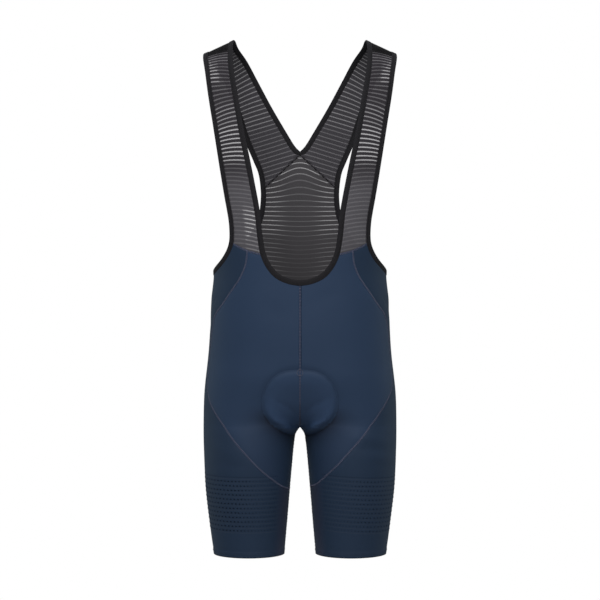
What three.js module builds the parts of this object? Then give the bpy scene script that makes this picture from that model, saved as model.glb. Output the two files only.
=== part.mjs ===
// Bib shorts, worn: stretch panels, mesh straps and back, bindings and a seat pad. Millimetres, +Z up.
// The wearer faces -Y. The origin lies between the shoulder lines of both straps.
import * as THREE from "three";

// Walls and seams
const STRETCH_WALL = 1.2;
const MESH_WALL = 1.0;
const BINDING_WALL = 2.2;
const BINDING_WIDTH = 9;
const SEAM_GAP = 0.3;
const PAD_CLEARANCE = 2;
const PAD_THICKNESS = 9;
const PAD_EDGE = 2;

// Heights and the shoulder line
const HEM_Z = -882;
const CROTCH_Z = -657;
const SHOULDER_X = 145;
const SHOULDER_SLOPE = 0.445;
const SHOULDER_ROUND = 70;
const TILT_ENDS = 220;
const CREST_Y = 0;

// Crotch: heights over which the centre seam curves under, and the space between the thighs
const FRONT_RISE = 95;
const BACK_RISE = 110;
const ARCH_WIDTH = 8;
const ARCH_DEPTH = 13;
const THIGH_SPREAD = 0.085;
const CROTCH_BLEND = 100;
const FULLNESS = 0.15;
const BLEND_POWER = 4;

// Left and right are as seen from the front. seamLift is how far the curved seams sit above their
// mean height across the thigh.
const SIDES = { left: { sign: -1, seamLift: -7 }, right: { sign: 1, seamLift: 7 } };

// Cross-sections. front and back are the depths of the trunk from its side line, sideY, at the
// centre; thighFront and thighBack those of the thigh at its middle.
const SECTIONS = table("z halfWidth sideY front back thighFront thighBack", [
  [60, 208, 0, 92, 82, 0, 0],
  [0, 206, 0, 98, 88, 0, 0],
  [-70, 200, -4, 108, 102, 0, 0],
  [-140, 190, -6, 114, 114, 0, 0],
  [-230, 176, -8, 116, 114, 0, 0],
  [-320, 160, -10, 112, 108, 0, 0],
  [-388, 150.5, -10, 108, 104, 0, 0],
  [-440, 154.5, -8, 108, 102, 0, 0],
  [-490, 157, -4, 110, 108, 0, 20],
  [-540, 160.5, 0, 110, 120, 35, 60],
  [-600, 167.5, 6, 110, 128, 72, 96],
  [-640, 169, 7, 110, 128, 88, 102],
  [-700, 168.3, 4, 110, 128, 90, 92],
  [-765, 165, 0, 110, 128, 82, 78],
  [-830, 157.5, -3, 110, 128, 72, 67],
  [HEM_Z, 150, -5, 110, 128, 66, 61],
]);

// Edges and seams of one half, seen from the front: x outward from the centre line.
const NECK_FRONT = table("x z", [
  [114, 14],
  [115.5, 2],
  [114, -35],
  [104, -100],
  [94, -158],
  [84, -205],
  [76, -245],
  [67.5, -292],
  [62.5, -337],
  [58, -361],
  [50, -379],
  [37, -394.5],
  [19, -403.5],
  [0, -406.5],
]);
const NECK_FRONT_SEAM_ROW = 9;
const NECK_BACK = table("x z", [
  [114, 14],
  [109.5, 6],
  [94, -14],
  [73.5, -51],
  [50.5, -93],
  [25, -136],
  [8, -163],
  [0, -171],
]);
// The armhole runs from the shoulder line down the front, under the arm and up the back.
const ARMHOLE_FRONT = table("x z", [
  [168, -10],
  [168, -21],
  [162, -55],
  [152.5, -118],
  [141.5, -186],
  [129, -262],
  [120.5, -315],
  [121, -342],
  [128, -360],
  [140, -376],
]);
const ARMHOLE_FRONT_SEAM_ROW = 7;
const ARMHOLE_LOWEST_Z = -388;
const ARMHOLE_BACK = table("x z", [
  [139, -378],
  [116, -356],
  [90, -323],
  [75, -288],
  [71, -258],
  [71.5, -237],
  [75.5, -211],
  [84, -190],
  [98, -157],
  [112, -115],
  [125, -76],
  [141, -40],
  [158, -20],
  [168, -10],
]);
const ARMHOLE_SIDE_SEAM_ROW = 1;
const ARMHOLE_YOKE_ROW = 5;

// The long seam between front and side piece: down the ribs, along the hip and across the thigh.
const SIDE_SEAM = table("x z", [
  [89.5, -357],
  [92, -379],
  [101, -401],
  [116, -423],
  [132, -446],
  [148, -471],
  [154, -508],
  [157, -540],
  [160, -575],
  [160, -594],
  [152, -617],
  [142, -633],
  [126, -655],
  [104, -683],
  [78, -712],
  [63, -728],
  [48, -742],
  [34, -755],
  [23.5, -763],
]);
const LIFT_ABOVE = { from: -540, full: -600 };
const LIFT_BELOW = { from: -806, full: -700 };
const TONGUE_Z = -766;
const SIDE_FOOT_ROW = 17;
// The like seam behind, hidden in front, a little straighter.
const SEAT_SEAM = table("x z", [
  [118, -385],
  [126, -420],
  [137, -455],
  [148, -500],
  [154, -545],
  [156, -590],
  [146, -625],
  [124, -662],
  [96, -698],
  [66, -730],
  [42, -752],
  [25, -763],
]);
const SEAT_FOOT_ROW = 10;
const WAIST_SEAM_ROW = 2;
const WAIST_SEAM_CENTRE_Z = -448;

// The seat pad's outline from its top at the centre front, then its back half.
const PAD_TOP_Z = -557;
const PAD_FRONT = table("x z", [
  [32, -559.5],
  [46, -568.5],
  [55, -580],
  [61, -594],
  [62.5, -610],
  [59, -627],
  [50, -640],
  [37, -654],
  [22, -666],
]);
const PAD_LOWEST_Z = -674;
const PAD_BACK = table("x z", [
  [40, -662],
  [62, -648],
  [74, -628],
  [78, -606],
  [74, -584],
  [60, -566],
  [34, -556],
]);
const PAD_END_Z = -552;

// How finely each stretch is divided
const STEPS = {
  strapFront: 12,
  strapBack: 11,
  neckU: 5,
  centreFront: 10,
  inseam: 5,
  leg: 5,
  strapSeam: 3,
  underarm: 11,
  ribSeam: 4,
  frontSeam: 20,
  seatSeam: 16,
  centreBack: 11,
  backArmhole: 8,
  panelWide: 6,
  padFront: 9,
  padBack: 9,
  padWide: 5,
};

const NAVY = 0x283a55;
const SIDE_NAVY = 0x243448;
const CHARCOAL = 0x45424a;
const BLACK = 0x1e1d1e;
const PAD_BLUE = 0x1c2740;

// Turns rows of numbers into objects with the named columns.
function table(columns, rows) {
  const names = columns.split(" ");
  return rows.map((row) => Object.fromEntries(names.map((name, i) => [name, row[i]])));
}

// Value of a column between two rows, on a cubic through the rows on both sides.
function between(rows, column, key, at) {
  let i = 0;
  while (i < rows.length - 2 && at < rows[i + 1][key]) i += 1;
  const [a, b] = [rows[i], rows[i + 1]];
  const [before, after] = [rows[Math.max(i - 1, 0)], rows[Math.min(i + 2, rows.length - 1)]];
  const span = b[key] - a[key];
  const t = THREE.MathUtils.clamp((at - a[key]) / span, 0, 1);
  const slopeA = ((b[column] - before[column]) / (b[key] - before[key])) * span;
  const slopeB = ((after[column] - a[column]) / (after[key] - a[key])) * span;
  const rise = b[column] - a[column];
  return (
    a[column] +
    t * slopeA +
    t * t * (3 * rise - 2 * slopeA - slopeB) +
    t * t * t * (slopeA + slopeB - 2 * rise)
  );
}

// The drop is the way down the cloth from the shoulder line: first round the shoulder, then straight.
const ROUND_WAY = (SHOULDER_ROUND * Math.PI) / 2;

function levelOfDrop(drop) {
  if (drop >= ROUND_WAY) return ROUND_WAY - SHOULDER_ROUND - drop;
  return SHOULDER_ROUND * (Math.cos(drop / SHOULDER_ROUND) - 1);
}

function dropOfLevel(level) {
  if (level <= -SHOULDER_ROUND) return ROUND_WAY - SHOULDER_ROUND - level;
  return SHOULDER_ROUND * Math.acos(Math.min(1, 1 + level / SHOULDER_ROUND));
}

// Sections tilt with the shoulder line at the top and lie level further down.
function tiltAt(level) {
  return THREE.MathUtils.smoothstep(level, -TILT_ENDS, 0) * SHOULDER_SLOPE;
}

function innerX(level) {
  const below = CROTCH_Z - level;
  if (below <= 0) return 0;
  return ARCH_WIDTH * (1 - Math.exp(-below / ARCH_DEPTH)) + THIGH_SPREAD * below;
}

// Share of the trunk's full depth at the centre: it curves under to nothing at the crotch.
function riseAt(level, height) {
  const share = THREE.MathUtils.clamp((level - CROTCH_Z) / height, 0, 1);
  return Math.sqrt(1 - (1 - share) ** 2);
}

// Way round the section near the inner edge: plain on the trunk, doubled on the leg.
function innerPower(level) {
  return 2 - THREE.MathUtils.smoothstep(level, CROTCH_Z, CROTCH_Z + CROTCH_BLEND);
}

// A point of the skin. round goes from 0 at the centre front to 1 at the side and 2 at the centre
// back, and on to 4 over the other side. On the leg it starts and ends, at 0 and 2, at the inseam.
function skin(round, drop) {
  const level = levelOfDrop(drop);
  const turn = THREE.MathUtils.euclideanModulo(round, level < CROTCH_Z ? 2 : 4);
  const sign = turn > 2 ? -1 : 1;
  const half = turn > 2 ? 4 - turn : turn;
  const behind = half > 1;
  const at = (column) => between(SECTIONS, column, "z", level);
  const inner = innerX(level);
  const way = Math.sin((Math.PI / 2) * (behind ? 2 - half : half));
  const share = Math.max(way, 0) ** innerPower(level);
  const x = inner + (at("halfWidth") - inner) * share;
  const trunk =
    at(behind ? "back" : "front") *
    riseAt(level, behind ? BACK_RISE : FRONT_RISE) *
    Math.sqrt(Math.max(0, 1 - share * share)) *
    (1 + FULLNESS * share * share);
  const thigh = at(behind ? "thighBack" : "thighFront") * 2 * Math.sqrt(Math.max(0, share * (1 - share)));
  const depth = (trunk ** BLEND_POWER + thigh ** BLEND_POWER) ** (1 / BLEND_POWER);
  const y = at("sideY") + (behind ? depth : -depth);
  const fold = drop < ROUND_WAY ? Math.sin(drop / SHOULDER_ROUND) : 1;
  const z = level + tiltAt(level) * (SHOULDER_X - x);
  return new THREE.Vector3(sign * x, CREST_Y + (y - CREST_Y) * fold, z);
}

// The way round and the drop of the skin's point seen from the front at x, z.
function placeOf({ x, z }, behind) {
  let [low, high] = [HEM_Z - 20, 0];
  for (let i = 0; i < 40; i += 1) {
    const middle = (low + high) / 2;
    if (middle + tiltAt(middle) * (SHOULDER_X - x) < z) low = middle;
    else high = middle;
  }
  const level = high;
  const inner = innerX(level);
  const half = between(SECTIONS, "halfWidth", "z", level);
  const share = THREE.MathUtils.clamp((x - inner) / (half - inner), 0, 1);
  const way = (Math.asin(share ** (1 / innerPower(level))) * 2) / Math.PI;
  return { round: behind ? 2 - way : way, drop: dropOfLevel(level) };
}

// The skin's slopes along round and drop, and its outward normal.
function slopes({ round, drop }) {
  const [stepRound, stepDrop] = [0.004, 0.5];
  const alongRound = skin(round + stepRound, drop).sub(skin(round - stepRound, drop));
  const alongDrop = skin(round, drop + stepDrop).sub(skin(round, Math.max(drop - stepDrop, 0)));
  alongRound.divideScalar(2 * stepRound);
  alongDrop.divideScalar(drop < stepDrop ? stepDrop + drop : 2 * stepDrop);
  const normal = new THREE.Vector3().crossVectors(alongDrop, alongRound);
  return { alongRound, alongDrop, normal: normal.normalize() };
}

const pointOf = ({ round, drop }) => skin(round, drop);
const mix = (a, b, t) => ({
  round: a.round + (b.round - a.round) * t,
  drop: a.drop + (b.drop - a.drop) * t,
});

// A smooth curve on the skin through places, cut between two of them into even steps.
const ROUND_SIZE = 250;
function curveThrough(places) {
  const points = places.map(({ round, drop }) => new THREE.Vector3(round * ROUND_SIZE, drop, 0));
  return new THREE.CatmullRomCurve3(points, false, "centripetal");
}

function cut(curve, from, to, steps) {
  const FINE = 240;
  const last = curve.points.length - 1;
  const fine = [];
  let way = 0;
  for (let i = 0; i <= FINE; i += 1) {
    const flat = curve.getPoint((from + ((to - from) * i) / FINE) / last);
    const place = { round: flat.x / ROUND_SIZE, drop: Math.max(flat.y, 0) };
    const point = pointOf(place);
    if (i) way += point.distanceTo(fine[i - 1].point);
    fine.push({ place, point, way });
  }
  const cuts = [fine[0].place];
  let i = 0;
  for (let step = 1; step < steps; step += 1) {
    const target = (way * step) / steps;
    while (fine[i + 1].way < target) i += 1;
    const t = (target - fine[i].way) / (fine[i + 1].way - fine[i].way);
    cuts.push(mix(fine[i].place, fine[i + 1].place, t));
  }
  return [...cuts, fine[FINE].place];
}

// Places of a table's rows, on the front or behind.
const placesOf = (rows, behind) => rows.map((row) => placeOf(row, behind));
const mirrored = ({ round, drop }, about) => ({ round: 2 * about - round, drop });

// Each place moved over the skin by a distance, square to the row of places.
function inset(places, distance) {
  return places.map((place, i) => {
    const before = pointOf(places[Math.max(i - 1, 0)]);
    const after = pointOf(places[Math.min(i + 1, places.length - 1)]);
    const { alongRound, alongDrop, normal } = slopes(place);
    const way = after.sub(before).cross(normal).normalize().multiplyScalar(distance);
    const [rr, rd, dd] = [
      alongRound.dot(alongRound),
      alongRound.dot(alongDrop),
      alongDrop.dot(alongDrop),
    ];
    const [r, d] = [alongRound.dot(way), alongDrop.dot(way)];
    const det = rr * dd - rd * rd;
    return {
      round: place.round + (r * dd - d * rd) / det,
      drop: Math.max(0, place.drop + (d * rr - r * rd) / det),
    };
  });
}

// A straight seam, seen from the front, between two places.
function straightSeam(from, to, steps) {
  const [a, b] = [pointOf(from), pointOf(to)];
  const behind = from.round > 1;
  return Array.from({ length: steps + 1 }, (_, i) => {
    if (i === 0) return from;
    if (i === steps) return to;
    const p = a.clone().lerp(b, i / steps);
    return placeOf({ x: p.x, z: p.z }, behind);
  });
}

// A net of places between two side rails. Its first row follows top and its last row foot, where
// they are given, and the rows near them follow less and less.
const EDGE_FADE = 3;
function net(railA, railB, columns, { top, foot } = {}) {
  const rows = railA.length - 1;
  const pull = (place, edge, row, column, share) => {
    if (!edge || share === 0) return;
    const plain = mix(railA[row], railB[row], column / columns);
    place.round += share * (edge[column].round - plain.round);
    place.drop += share * (edge[column].drop - plain.drop);
  };
  return railA.map((a, row) =>
    Array.from({ length: columns + 1 }, (_, column) => {
      const place = mix(a, railB[row], column / columns);
      pull(place, top, 0, column, (1 - row / rows) ** EDGE_FADE);
      pull(place, foot, rows, column, (row / rows) ** EDGE_FADE);
      return place;
    }),
  );
}

// At the crotch itself the cloth faces straight down.
function normalAt(place) {
  const { normal } = slopes(place);
  const atCrotch = Math.abs(levelOfDrop(place.drop) - CROTCH_Z) < 1;
  const atCentre = Math.min(place.round, 2 - place.round) < 0.01;
  return atCrotch && atCentre ? new THREE.Vector3(0, 0, -1) : normal;
}

// Faces over the skin, made of one or more nets on either side. Points that coincide are one node,
// but for the two edges of a leg where its inseam stays open.
class Sheet {
  constructor(openInseam = false) {
    this.openInseam = openInseam;
    this.nodes = [];
    this.faces = [];
    this.found = new Map();
  }

  node(place, sign, swell) {
    const flip = new THREE.Vector3(sign, 1, 1);
    const point = pointOf(place).multiply(flip);
    const half = this.openInseam && place.round > 1 ? "behind" : "";
    const key = `${point.toArray().map((v) => Math.round(v * 20))}${half}`;
    if (!this.found.has(key)) {
      const normal = normalAt(place).multiply(flip);
      if (Math.abs(point.x) < SEAM_GAP) normal.setX(0).normalize();
      this.found.set(key, this.nodes.push({ point, normal, swell }) - 1);
    }
    return this.found.get(key);
  }

  // Adds a net on one side, with how much each row and column swells where that is given.
  add(places, sign, swellAt = () => 0) {
    const at = places.map((line, row) =>
      line.map((place, column) => this.node(place, sign, swellAt(row, column))),
    );
    const faces = [];
    for (let row = 0; row < at.length - 1; row += 1)
      for (let column = 0; column < at[0].length - 1; column += 1) {
        const [a, b] = [at[row][column], at[row + 1][column]];
        const [c, d] = [at[row + 1][column + 1], at[row][column + 1]];
        faces.push([a, b, c], [a, c, d]);
      }
    const outward = faces.reduce((sum, face) => sum + this.facing(face), 0) > 0;
    this.faces.push(...(outward ? faces : faces.map(([a, b, c]) => [a, c, b])));
    return this;
  }

  facing([a, b, c]) {
    const [p, q, r] = [a, b, c].map((i) => this.nodes[i].point.clone());
    return q.sub(p).cross(r.sub(p)).dot(this.nodes[a].normal);
  }

  // Edges that only one face has, each with that face on its left.
  rim() {
    const edges = new Map();
    for (const face of this.faces)
      face.forEach((a, i) => {
        const b = face[(i + 1) % 3];
        if (!edges.delete(`${b},${a}`)) edges.set(`${a},${b}`, [a, b]);
      });
    return [...edges.values()];
  }

  // Draws the rim in by half the seam gap, square to its edges.
  trim() {
    const ways = new Map();
    for (const [a, b] of this.rim())
      for (const i of [a, b]) {
        const along = this.nodes[b].point.clone().sub(this.nodes[a].point);
        const way = this.nodes[i].normal.clone().cross(along).normalize();
        ways.set(i, [...(ways.get(i) ?? []), way]);
      }
    for (const [i, [one, other]] of ways) {
      const mitre = Math.max(1 + one.dot(other), 0.5);
      this.nodes[i].point.addScaledVector(one.clone().add(other), SEAM_GAP / 2 / mitre);
    }
    return this;
  }

  // The closed wall between two depths under the skin, the inner face swollen where nodes say so.
  wall(outer, inner) {
    const layer = (depth, swollen) =>
      this.nodes.flatMap(({ point, normal, swell }) =>
        point.clone().addScaledVector(normal, -depth - (swollen ? swell : 0)).toArray(),
      );
    const under = this.nodes.length;
    const index = this.faces.flatMap(([a, b, c]) => [a, b, c, a + under, c + under, b + under]);
    for (const [a, b] of this.rim()) index.push(a, a + under, b, b, a + under, b + under);
    const geometry = new THREE.BufferGeometry();
    const positions = [...layer(outer, false), ...layer(inner, true)];
    geometry.setAttribute("position", new THREE.Float32BufferAttribute(positions, 3));
    geometry.setIndex(index);
    geometry.computeVertexNormals();
    return geometry;
  }
}

const group = new THREE.Group();
function addPiece(name, geometry, color, roughness) {
  const material = new THREE.MeshStandardMaterial({ color, roughness, metalness: 0 });
  const mesh = new THREE.Mesh(geometry, material);
  mesh.name = name;
  group.add(mesh);
}

// Opening edges
const neckFrontPlaces = placesOf(NECK_FRONT, false);
const neckBackPlaces = placesOf(NECK_BACK, true);
const armholePlaces = [
  ...placesOf(ARMHOLE_FRONT, false),
  { round: 1, drop: dropOfLevel(ARMHOLE_LOWEST_Z) },
  ...placesOf(ARMHOLE_BACK, true),
];
const lowestRow = ARMHOLE_FRONT.length;
const neckFront = curveThrough([...neckFrontPlaces, mirrored(neckFrontPlaces.at(-2), 0)]);
const neckBack = curveThrough(neckBackPlaces);
const armhole = curveThrough(armholePlaces);

// Cuts of the opening edges, stretch by stretch
const neckStrap = cut(neckFront, 0, NECK_FRONT_SEAM_ROW, STEPS.strapFront);
const neckU = cut(neckFront, NECK_FRONT_SEAM_ROW, NECK_FRONT.length - 1, STEPS.neckU);
const neckV = cut(neckBack, 0, NECK_BACK.length - 1, STEPS.strapBack);
const sideRow = lowestRow + 1 + ARMHOLE_SIDE_SEAM_ROW;
const yokeRow = lowestRow + 1 + ARMHOLE_YOKE_ROW;
const armStrap = cut(armhole, 0, ARMHOLE_FRONT_SEAM_ROW, STEPS.strapFront);
const armUnder = cut(armhole, ARMHOLE_FRONT_SEAM_ROW, sideRow, STEPS.underarm);
const armBack = cut(armhole, sideRow, yokeRow, STEPS.backArmhole);
const armStrapBack = cut(armhole, yokeRow, armholePlaces.length - 1, STEPS.strapBack);

// The whole edges and the seam lines a binding's width inside them
const neckFrontEdge = [...neckStrap, ...neckU.slice(1)];
const armholeEdge = [...armStrap, ...armUnder.slice(1), ...armBack.slice(1), ...armStrapBack.slice(1)];
const neckFrontSeam = inset(neckFrontEdge, -BINDING_WIDTH);
const neckBackSeam = inset(neckV, BINDING_WIDTH);
const armholeSeam = inset(armholeEdge, BINDING_WIDTH);
neckFrontSeam.at(-1).round = 0;
neckBackSeam.at(-1).round = 2;

// Front and back share their points on the shoulder line
neckFrontSeam[0].drop = 0;
armholeSeam[0].drop = 0;
neckBackSeam[0] = mirrored(neckFrontSeam[0], 1);
armholeSeam[armholeSeam.length - 1] = mirrored(armholeSeam[0], 1);

const part = (line, start, steps) => line.slice(start, start + steps + 1);
const neckStrapSeam = part(neckFrontSeam, 0, STEPS.strapFront);
const neckUSeam = part(neckFrontSeam, STEPS.strapFront, STEPS.neckU);
const armStrapSeam = part(armholeSeam, 0, STEPS.strapFront);
const armUnderSeam = part(armholeSeam, STEPS.strapFront, STEPS.underarm);
const armBackSeam = part(armholeSeam, STEPS.strapFront + STEPS.underarm, STEPS.backArmhole);
const armStrapBackSeam = part(armholeSeam, armholeSeam.length - 1 - STEPS.strapBack, STEPS.strapBack);

// Seams between the strap and the pieces below it, meeting at the top of the side seam
const sideSeamTop = placeOf(SIDE_SEAM[0], false);
const strapSeam = curveThrough([neckStrapSeam.at(-1), sideSeamTop, armStrapSeam.at(-1)]);
const strapSeamFront = cut(strapSeam, 0, 1, STEPS.panelWide);
const strapSeamSide = cut(strapSeam, 1, 2, STEPS.strapSeam);
const strapFoot = [...cut(strapSeam, 0, 1, STEPS.strapSeam), ...strapSeamSide.slice(1)];

// The long seams, lifted or dropped a little across the thigh
function liftedPlaces(rows, lift, behind) {
  const above = (z) => 1 - THREE.MathUtils.smoothstep(z, LIFT_ABOVE.full, LIFT_ABOVE.from);
  const below = (z) => THREE.MathUtils.smoothstep(z, LIFT_BELOW.from, LIFT_BELOW.full);
  const share = (z) => above(z) * below(z);
  const tip = { round: behind ? 2 : 0, drop: dropOfLevel(TONGUE_Z + lift * share(TONGUE_Z)) };
  const places = placesOf(rows.map(({ x, z }) => ({ x, z: z + lift * share(z) })), behind);
  return [...places, tip, mirrored(places.at(-1), tip.round)];
}

// A long seam from one row of its table to the inseam: its side, and its foot across the tongue.
function longSeam(places, from, footRow, steps) {
  const curve = curveThrough(places);
  const side = cut(curve, from, footRow, steps);
  const foot = cut(curve, footRow, places.length - 2, STEPS.panelWide);
  return { side, foot };
}

const straight = (from, to, steps) => cut(curveThrough([from, mix(from, to, 0.5), to]), 0, 2, steps);
const reversed = (line) => [...line].reverse();
const crotch = { round: 0, drop: dropOfLevel(CROTCH_Z) };
const crotchBack = { ...crotch, round: 2 };
const waistCentre = { round: 2, drop: dropOfLevel(WAIST_SEAM_CENTRE_Z) };
const hemDrop = dropOfLevel(HEM_Z);
const yoke = straightSeam(neckBackSeam.at(-1), armStrapBackSeam[0], STEPS.panelWide);
const ribLine = [armBackSeam[0], ...placesOf(SEAT_SEAM.slice(1), true)];
const ribs = cut(curveThrough(ribLine), 0, WAIST_SEAM_ROW, STEPS.ribSeam);
const waist = straight(waistCentre, ribs.at(-1), STEPS.panelWide);

// The navy pieces, the straps and the armhole binding of one side
function addSide(side, { sign, seamLift }) {
  const add = (piece, nets, thickness, color, roughness) => {
    const sheet = new Sheet(true);
    nets.forEach((places) => sheet.add(places, sign));
    addPiece(`${piece}_${side}`, sheet.trim().wall(0, thickness), color, roughness);
  };

  const front = longSeam(liftedPlaces(SIDE_SEAM, seamLift, false), 0, SIDE_FOOT_ROW, STEPS.frontSeam);
  const seatPlaces = liftedPlaces(SEAT_SEAM, seamLift, true);
  const seat = longSeam(seatPlaces, WAIST_SEAM_ROW, SEAT_FOOT_ROW, STEPS.seatSeam);

  const frontRail = [
    ...neckUSeam,
    ...straight(neckUSeam.at(-1), crotch, STEPS.centreFront).slice(1),
    ...straight(crotch, front.foot.at(-1), STEPS.inseam).slice(1),
  ];
  const frontEnds = { top: strapSeamFront, foot: reversed(front.foot) };
  add("front", [net(frontRail, front.side, STEPS.panelWide, frontEnds)], STRETCH_WALL, NAVY, 0.6);

  const seatRail = [
    ...straight(waistCentre, crotchBack, STEPS.centreBack),
    ...straight(crotchBack, seat.foot.at(-1), STEPS.inseam).slice(1),
  ];
  const seatEnds = { top: waist, foot: reversed(seat.foot) };
  add("seat", [net(seatRail, seat.side, STEPS.panelWide, seatEnds)], STRETCH_WALL, NAVY, 0.6);

  const sideTop = [...strapSeamSide, ...armUnderSeam.slice(1)];
  const sideBack = [...ribs, ...seat.side.slice(1)];
  const hipNet = net(front.side, sideBack, sideTop.length - 1, { top: sideTop });
  const legTop = [...reversed(front.foot), ...hipNet.at(-1).slice(1), ...seat.foot.slice(1)];
  const hem = legTop.map(({ round }) => ({ round, drop: hemDrop }));
  add("side", [hipNet, net(legTop, hem, STEPS.leg)], STRETCH_WALL, SIDE_NAVY, 0.65);

  const strap = net(neckStrapSeam, armStrapSeam, strapFoot.length - 1, { foot: strapFoot });
  add("front_strap", [strap], MESH_WALL, CHARCOAL, 0.7);
  const strapBack = net(neckBackSeam, reversed(armStrapBackSeam), STEPS.panelWide, { foot: yoke });
  add("back_strap", [strapBack], MESH_WALL, CHARCOAL, 0.7);

  addBinding(`armhole_binding_${side}`, [armholeEdge.map((edge, i) => [armholeSeam[i], edge])], [sign]);
}

// A binding closes on itself and is a little proud of the cloth on both faces.
function addBinding(name, nets, signs) {
  const proud = (BINDING_WALL - MESH_WALL) / 2;
  const sheet = new Sheet();
  for (const sign of signs) nets.forEach((places) => sheet.add(places, sign));
  addPiece(name, sheet.trim().wall(-proud, BINDING_WALL - proud), BLACK, 0.8);
}

for (const [side, sizes] of Object.entries(SIDES)) addSide(side, sizes);

// The mesh back, from the yoke to the waist seam
const backRail = [...reversed(armBackSeam), ...ribs.slice(1)];
const backCentre = straight(yoke[0], waistCentre, backRail.length - 1);
const backPlaces = net(backCentre, backRail, STEPS.panelWide, { top: yoke, foot: waist });
const backSheet = new Sheet().add(backPlaces, 1).add(backPlaces, -1);
addPiece("back_panel", backSheet.trim().wall(0, MESH_WALL), CHARCOAL, 0.7);

// The neck binding: the U in front and the V behind
const neckFrontNet = neckFrontEdge.map((edge, i) => [edge, neckFrontSeam[i]]);
const neckBackNet = neckV.map((edge, i) => [edge, neckBackSeam[i]]);
addBinding("neck_binding", [neckFrontNet, neckBackNet], [1, -1]);

// The seat pad: a cushion under the crotch, thick in the middle and thin at its edge
const padTop = { round: 0, drop: dropOfLevel(PAD_TOP_Z) };
const padEnd = { round: 2, drop: dropOfLevel(PAD_END_Z) };
const padLow = { round: 0, drop: dropOfLevel(PAD_LOWEST_Z) };
const padFrontLine = curveThrough([...placesOf(PAD_FRONT, false), padLow]);
const padBackLine = curveThrough([{ ...padLow, round: 2 }, ...placesOf(PAD_BACK, true)]);
const padFrontEdge = cut(padFrontLine, 0, PAD_FRONT.length, STEPS.padFront);
const padBackEdge = cut(padBackLine, 0, PAD_BACK.length, STEPS.padBack);
const padFront = net(straight(padTop, crotch, STEPS.padFront), padFrontEdge, STEPS.padWide);
const padBack = net(straight(crotchBack, padEnd, STEPS.padBack), padBackEdge, STEPS.padWide);
const padSwell = (column, along) => {
  const across = 1 - column / STEPS.padWide;
  return PAD_EDGE + (PAD_THICKNESS - PAD_EDGE) * Math.sqrt(across * Math.sin((Math.PI / 2) * along));
};
const padSheet = new Sheet();
for (const sign of [1, -1]) {
  padSheet.add(padFront, sign, (row, column) => padSwell(column, row / STEPS.padFront));
  padSheet.add(padBack, sign, (row, column) => padSwell(column, 1 - row / STEPS.padBack));
}
const padFace = STRETCH_WALL + PAD_CLEARANCE;
addPiece("seat_pad", padSheet.wall(padFace, padFace), PAD_BLUE, 0.8);

export default group;
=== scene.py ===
"""Cycling bib shorts, worn and hollow: stretch panels, mesh straps and back, bindings and a seat pad.

Sizes are in millimetres until a mesh is made in metres. The front faces -Y, and left and right are
as seen from the front. Every piece lies on one skin: a place on it is its way round the body, from
0 at the centre front over 1 at the side to 2 at the centre back, and its drop from the shoulder.
"""
import logging
import math
from dataclasses import dataclass, field
from enum import Enum
from typing import Callable, Optional, Sequence

import bpy
import numpy as np
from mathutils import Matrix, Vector
from mathutils.kdtree import KDTree


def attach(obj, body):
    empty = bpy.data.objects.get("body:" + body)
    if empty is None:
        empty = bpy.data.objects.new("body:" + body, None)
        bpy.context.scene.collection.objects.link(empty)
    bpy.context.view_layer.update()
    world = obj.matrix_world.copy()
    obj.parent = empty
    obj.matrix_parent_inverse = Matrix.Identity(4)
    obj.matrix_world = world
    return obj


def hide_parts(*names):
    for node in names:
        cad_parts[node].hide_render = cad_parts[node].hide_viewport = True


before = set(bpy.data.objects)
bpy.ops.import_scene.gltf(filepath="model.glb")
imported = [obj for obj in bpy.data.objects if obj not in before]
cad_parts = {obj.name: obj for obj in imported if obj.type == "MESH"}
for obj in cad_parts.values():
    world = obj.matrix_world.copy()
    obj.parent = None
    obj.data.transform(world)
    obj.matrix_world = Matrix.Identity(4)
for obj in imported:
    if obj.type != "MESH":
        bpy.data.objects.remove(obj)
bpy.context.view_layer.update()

Array = np.ndarray
Places = np.ndarray
log = logging.getLogger("bib_shorts")

MM = 0.001
BODY = "root"


def columns(names: str, rows: Sequence[Sequence[float]]) -> dict[str, Array]:
    """Named columns of a table.

    Args:
        names: the column names, parted by spaces.
        rows: one row of numbers for each section or point.
    Returns:
        An array for each name.
    """
    return dict(zip(names.split(), np.array(rows, float).T))


# Cross-sections. front and back are the trunk's depths at the centre from its side line, side_y;
# thigh_front and thigh_back are those of the thigh at its middle.
SECTIONS = columns("z half_width side_y front back thigh_front thigh_back", [
    [60, 208, 0, 92, 82, 0, 0],
    [0, 206, 0, 98, 88, 0, 0],
    [-70, 200, -4, 108, 102, 0, 0],
    [-140, 190, -6, 114, 114, 0, 0],
    [-230, 176, -8, 116, 114, 0, 0],
    [-320, 160, -10, 112, 108, 0, 0],
    [-388, 150.5, -10, 108, 104, 0, 0],
    [-440, 154.5, -8, 108, 102, 0, 0],
    [-490, 157, -4, 110, 108, 0, 20],
    [-540, 160.5, 0, 110, 120, 35, 60],
    [-600, 167.5, 6, 110, 128, 72, 96],
    [-640, 169, 7, 110, 128, 88, 102],
    [-700, 168.3, 4, 110, 128, 90, 92],
    [-765, 165, 0, 110, 128, 82, 78],
    [-830, 157.5, -3, 110, 128, 72, 67],
    [-882, 150, -5, 110, 128, 66, 61],
])

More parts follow.
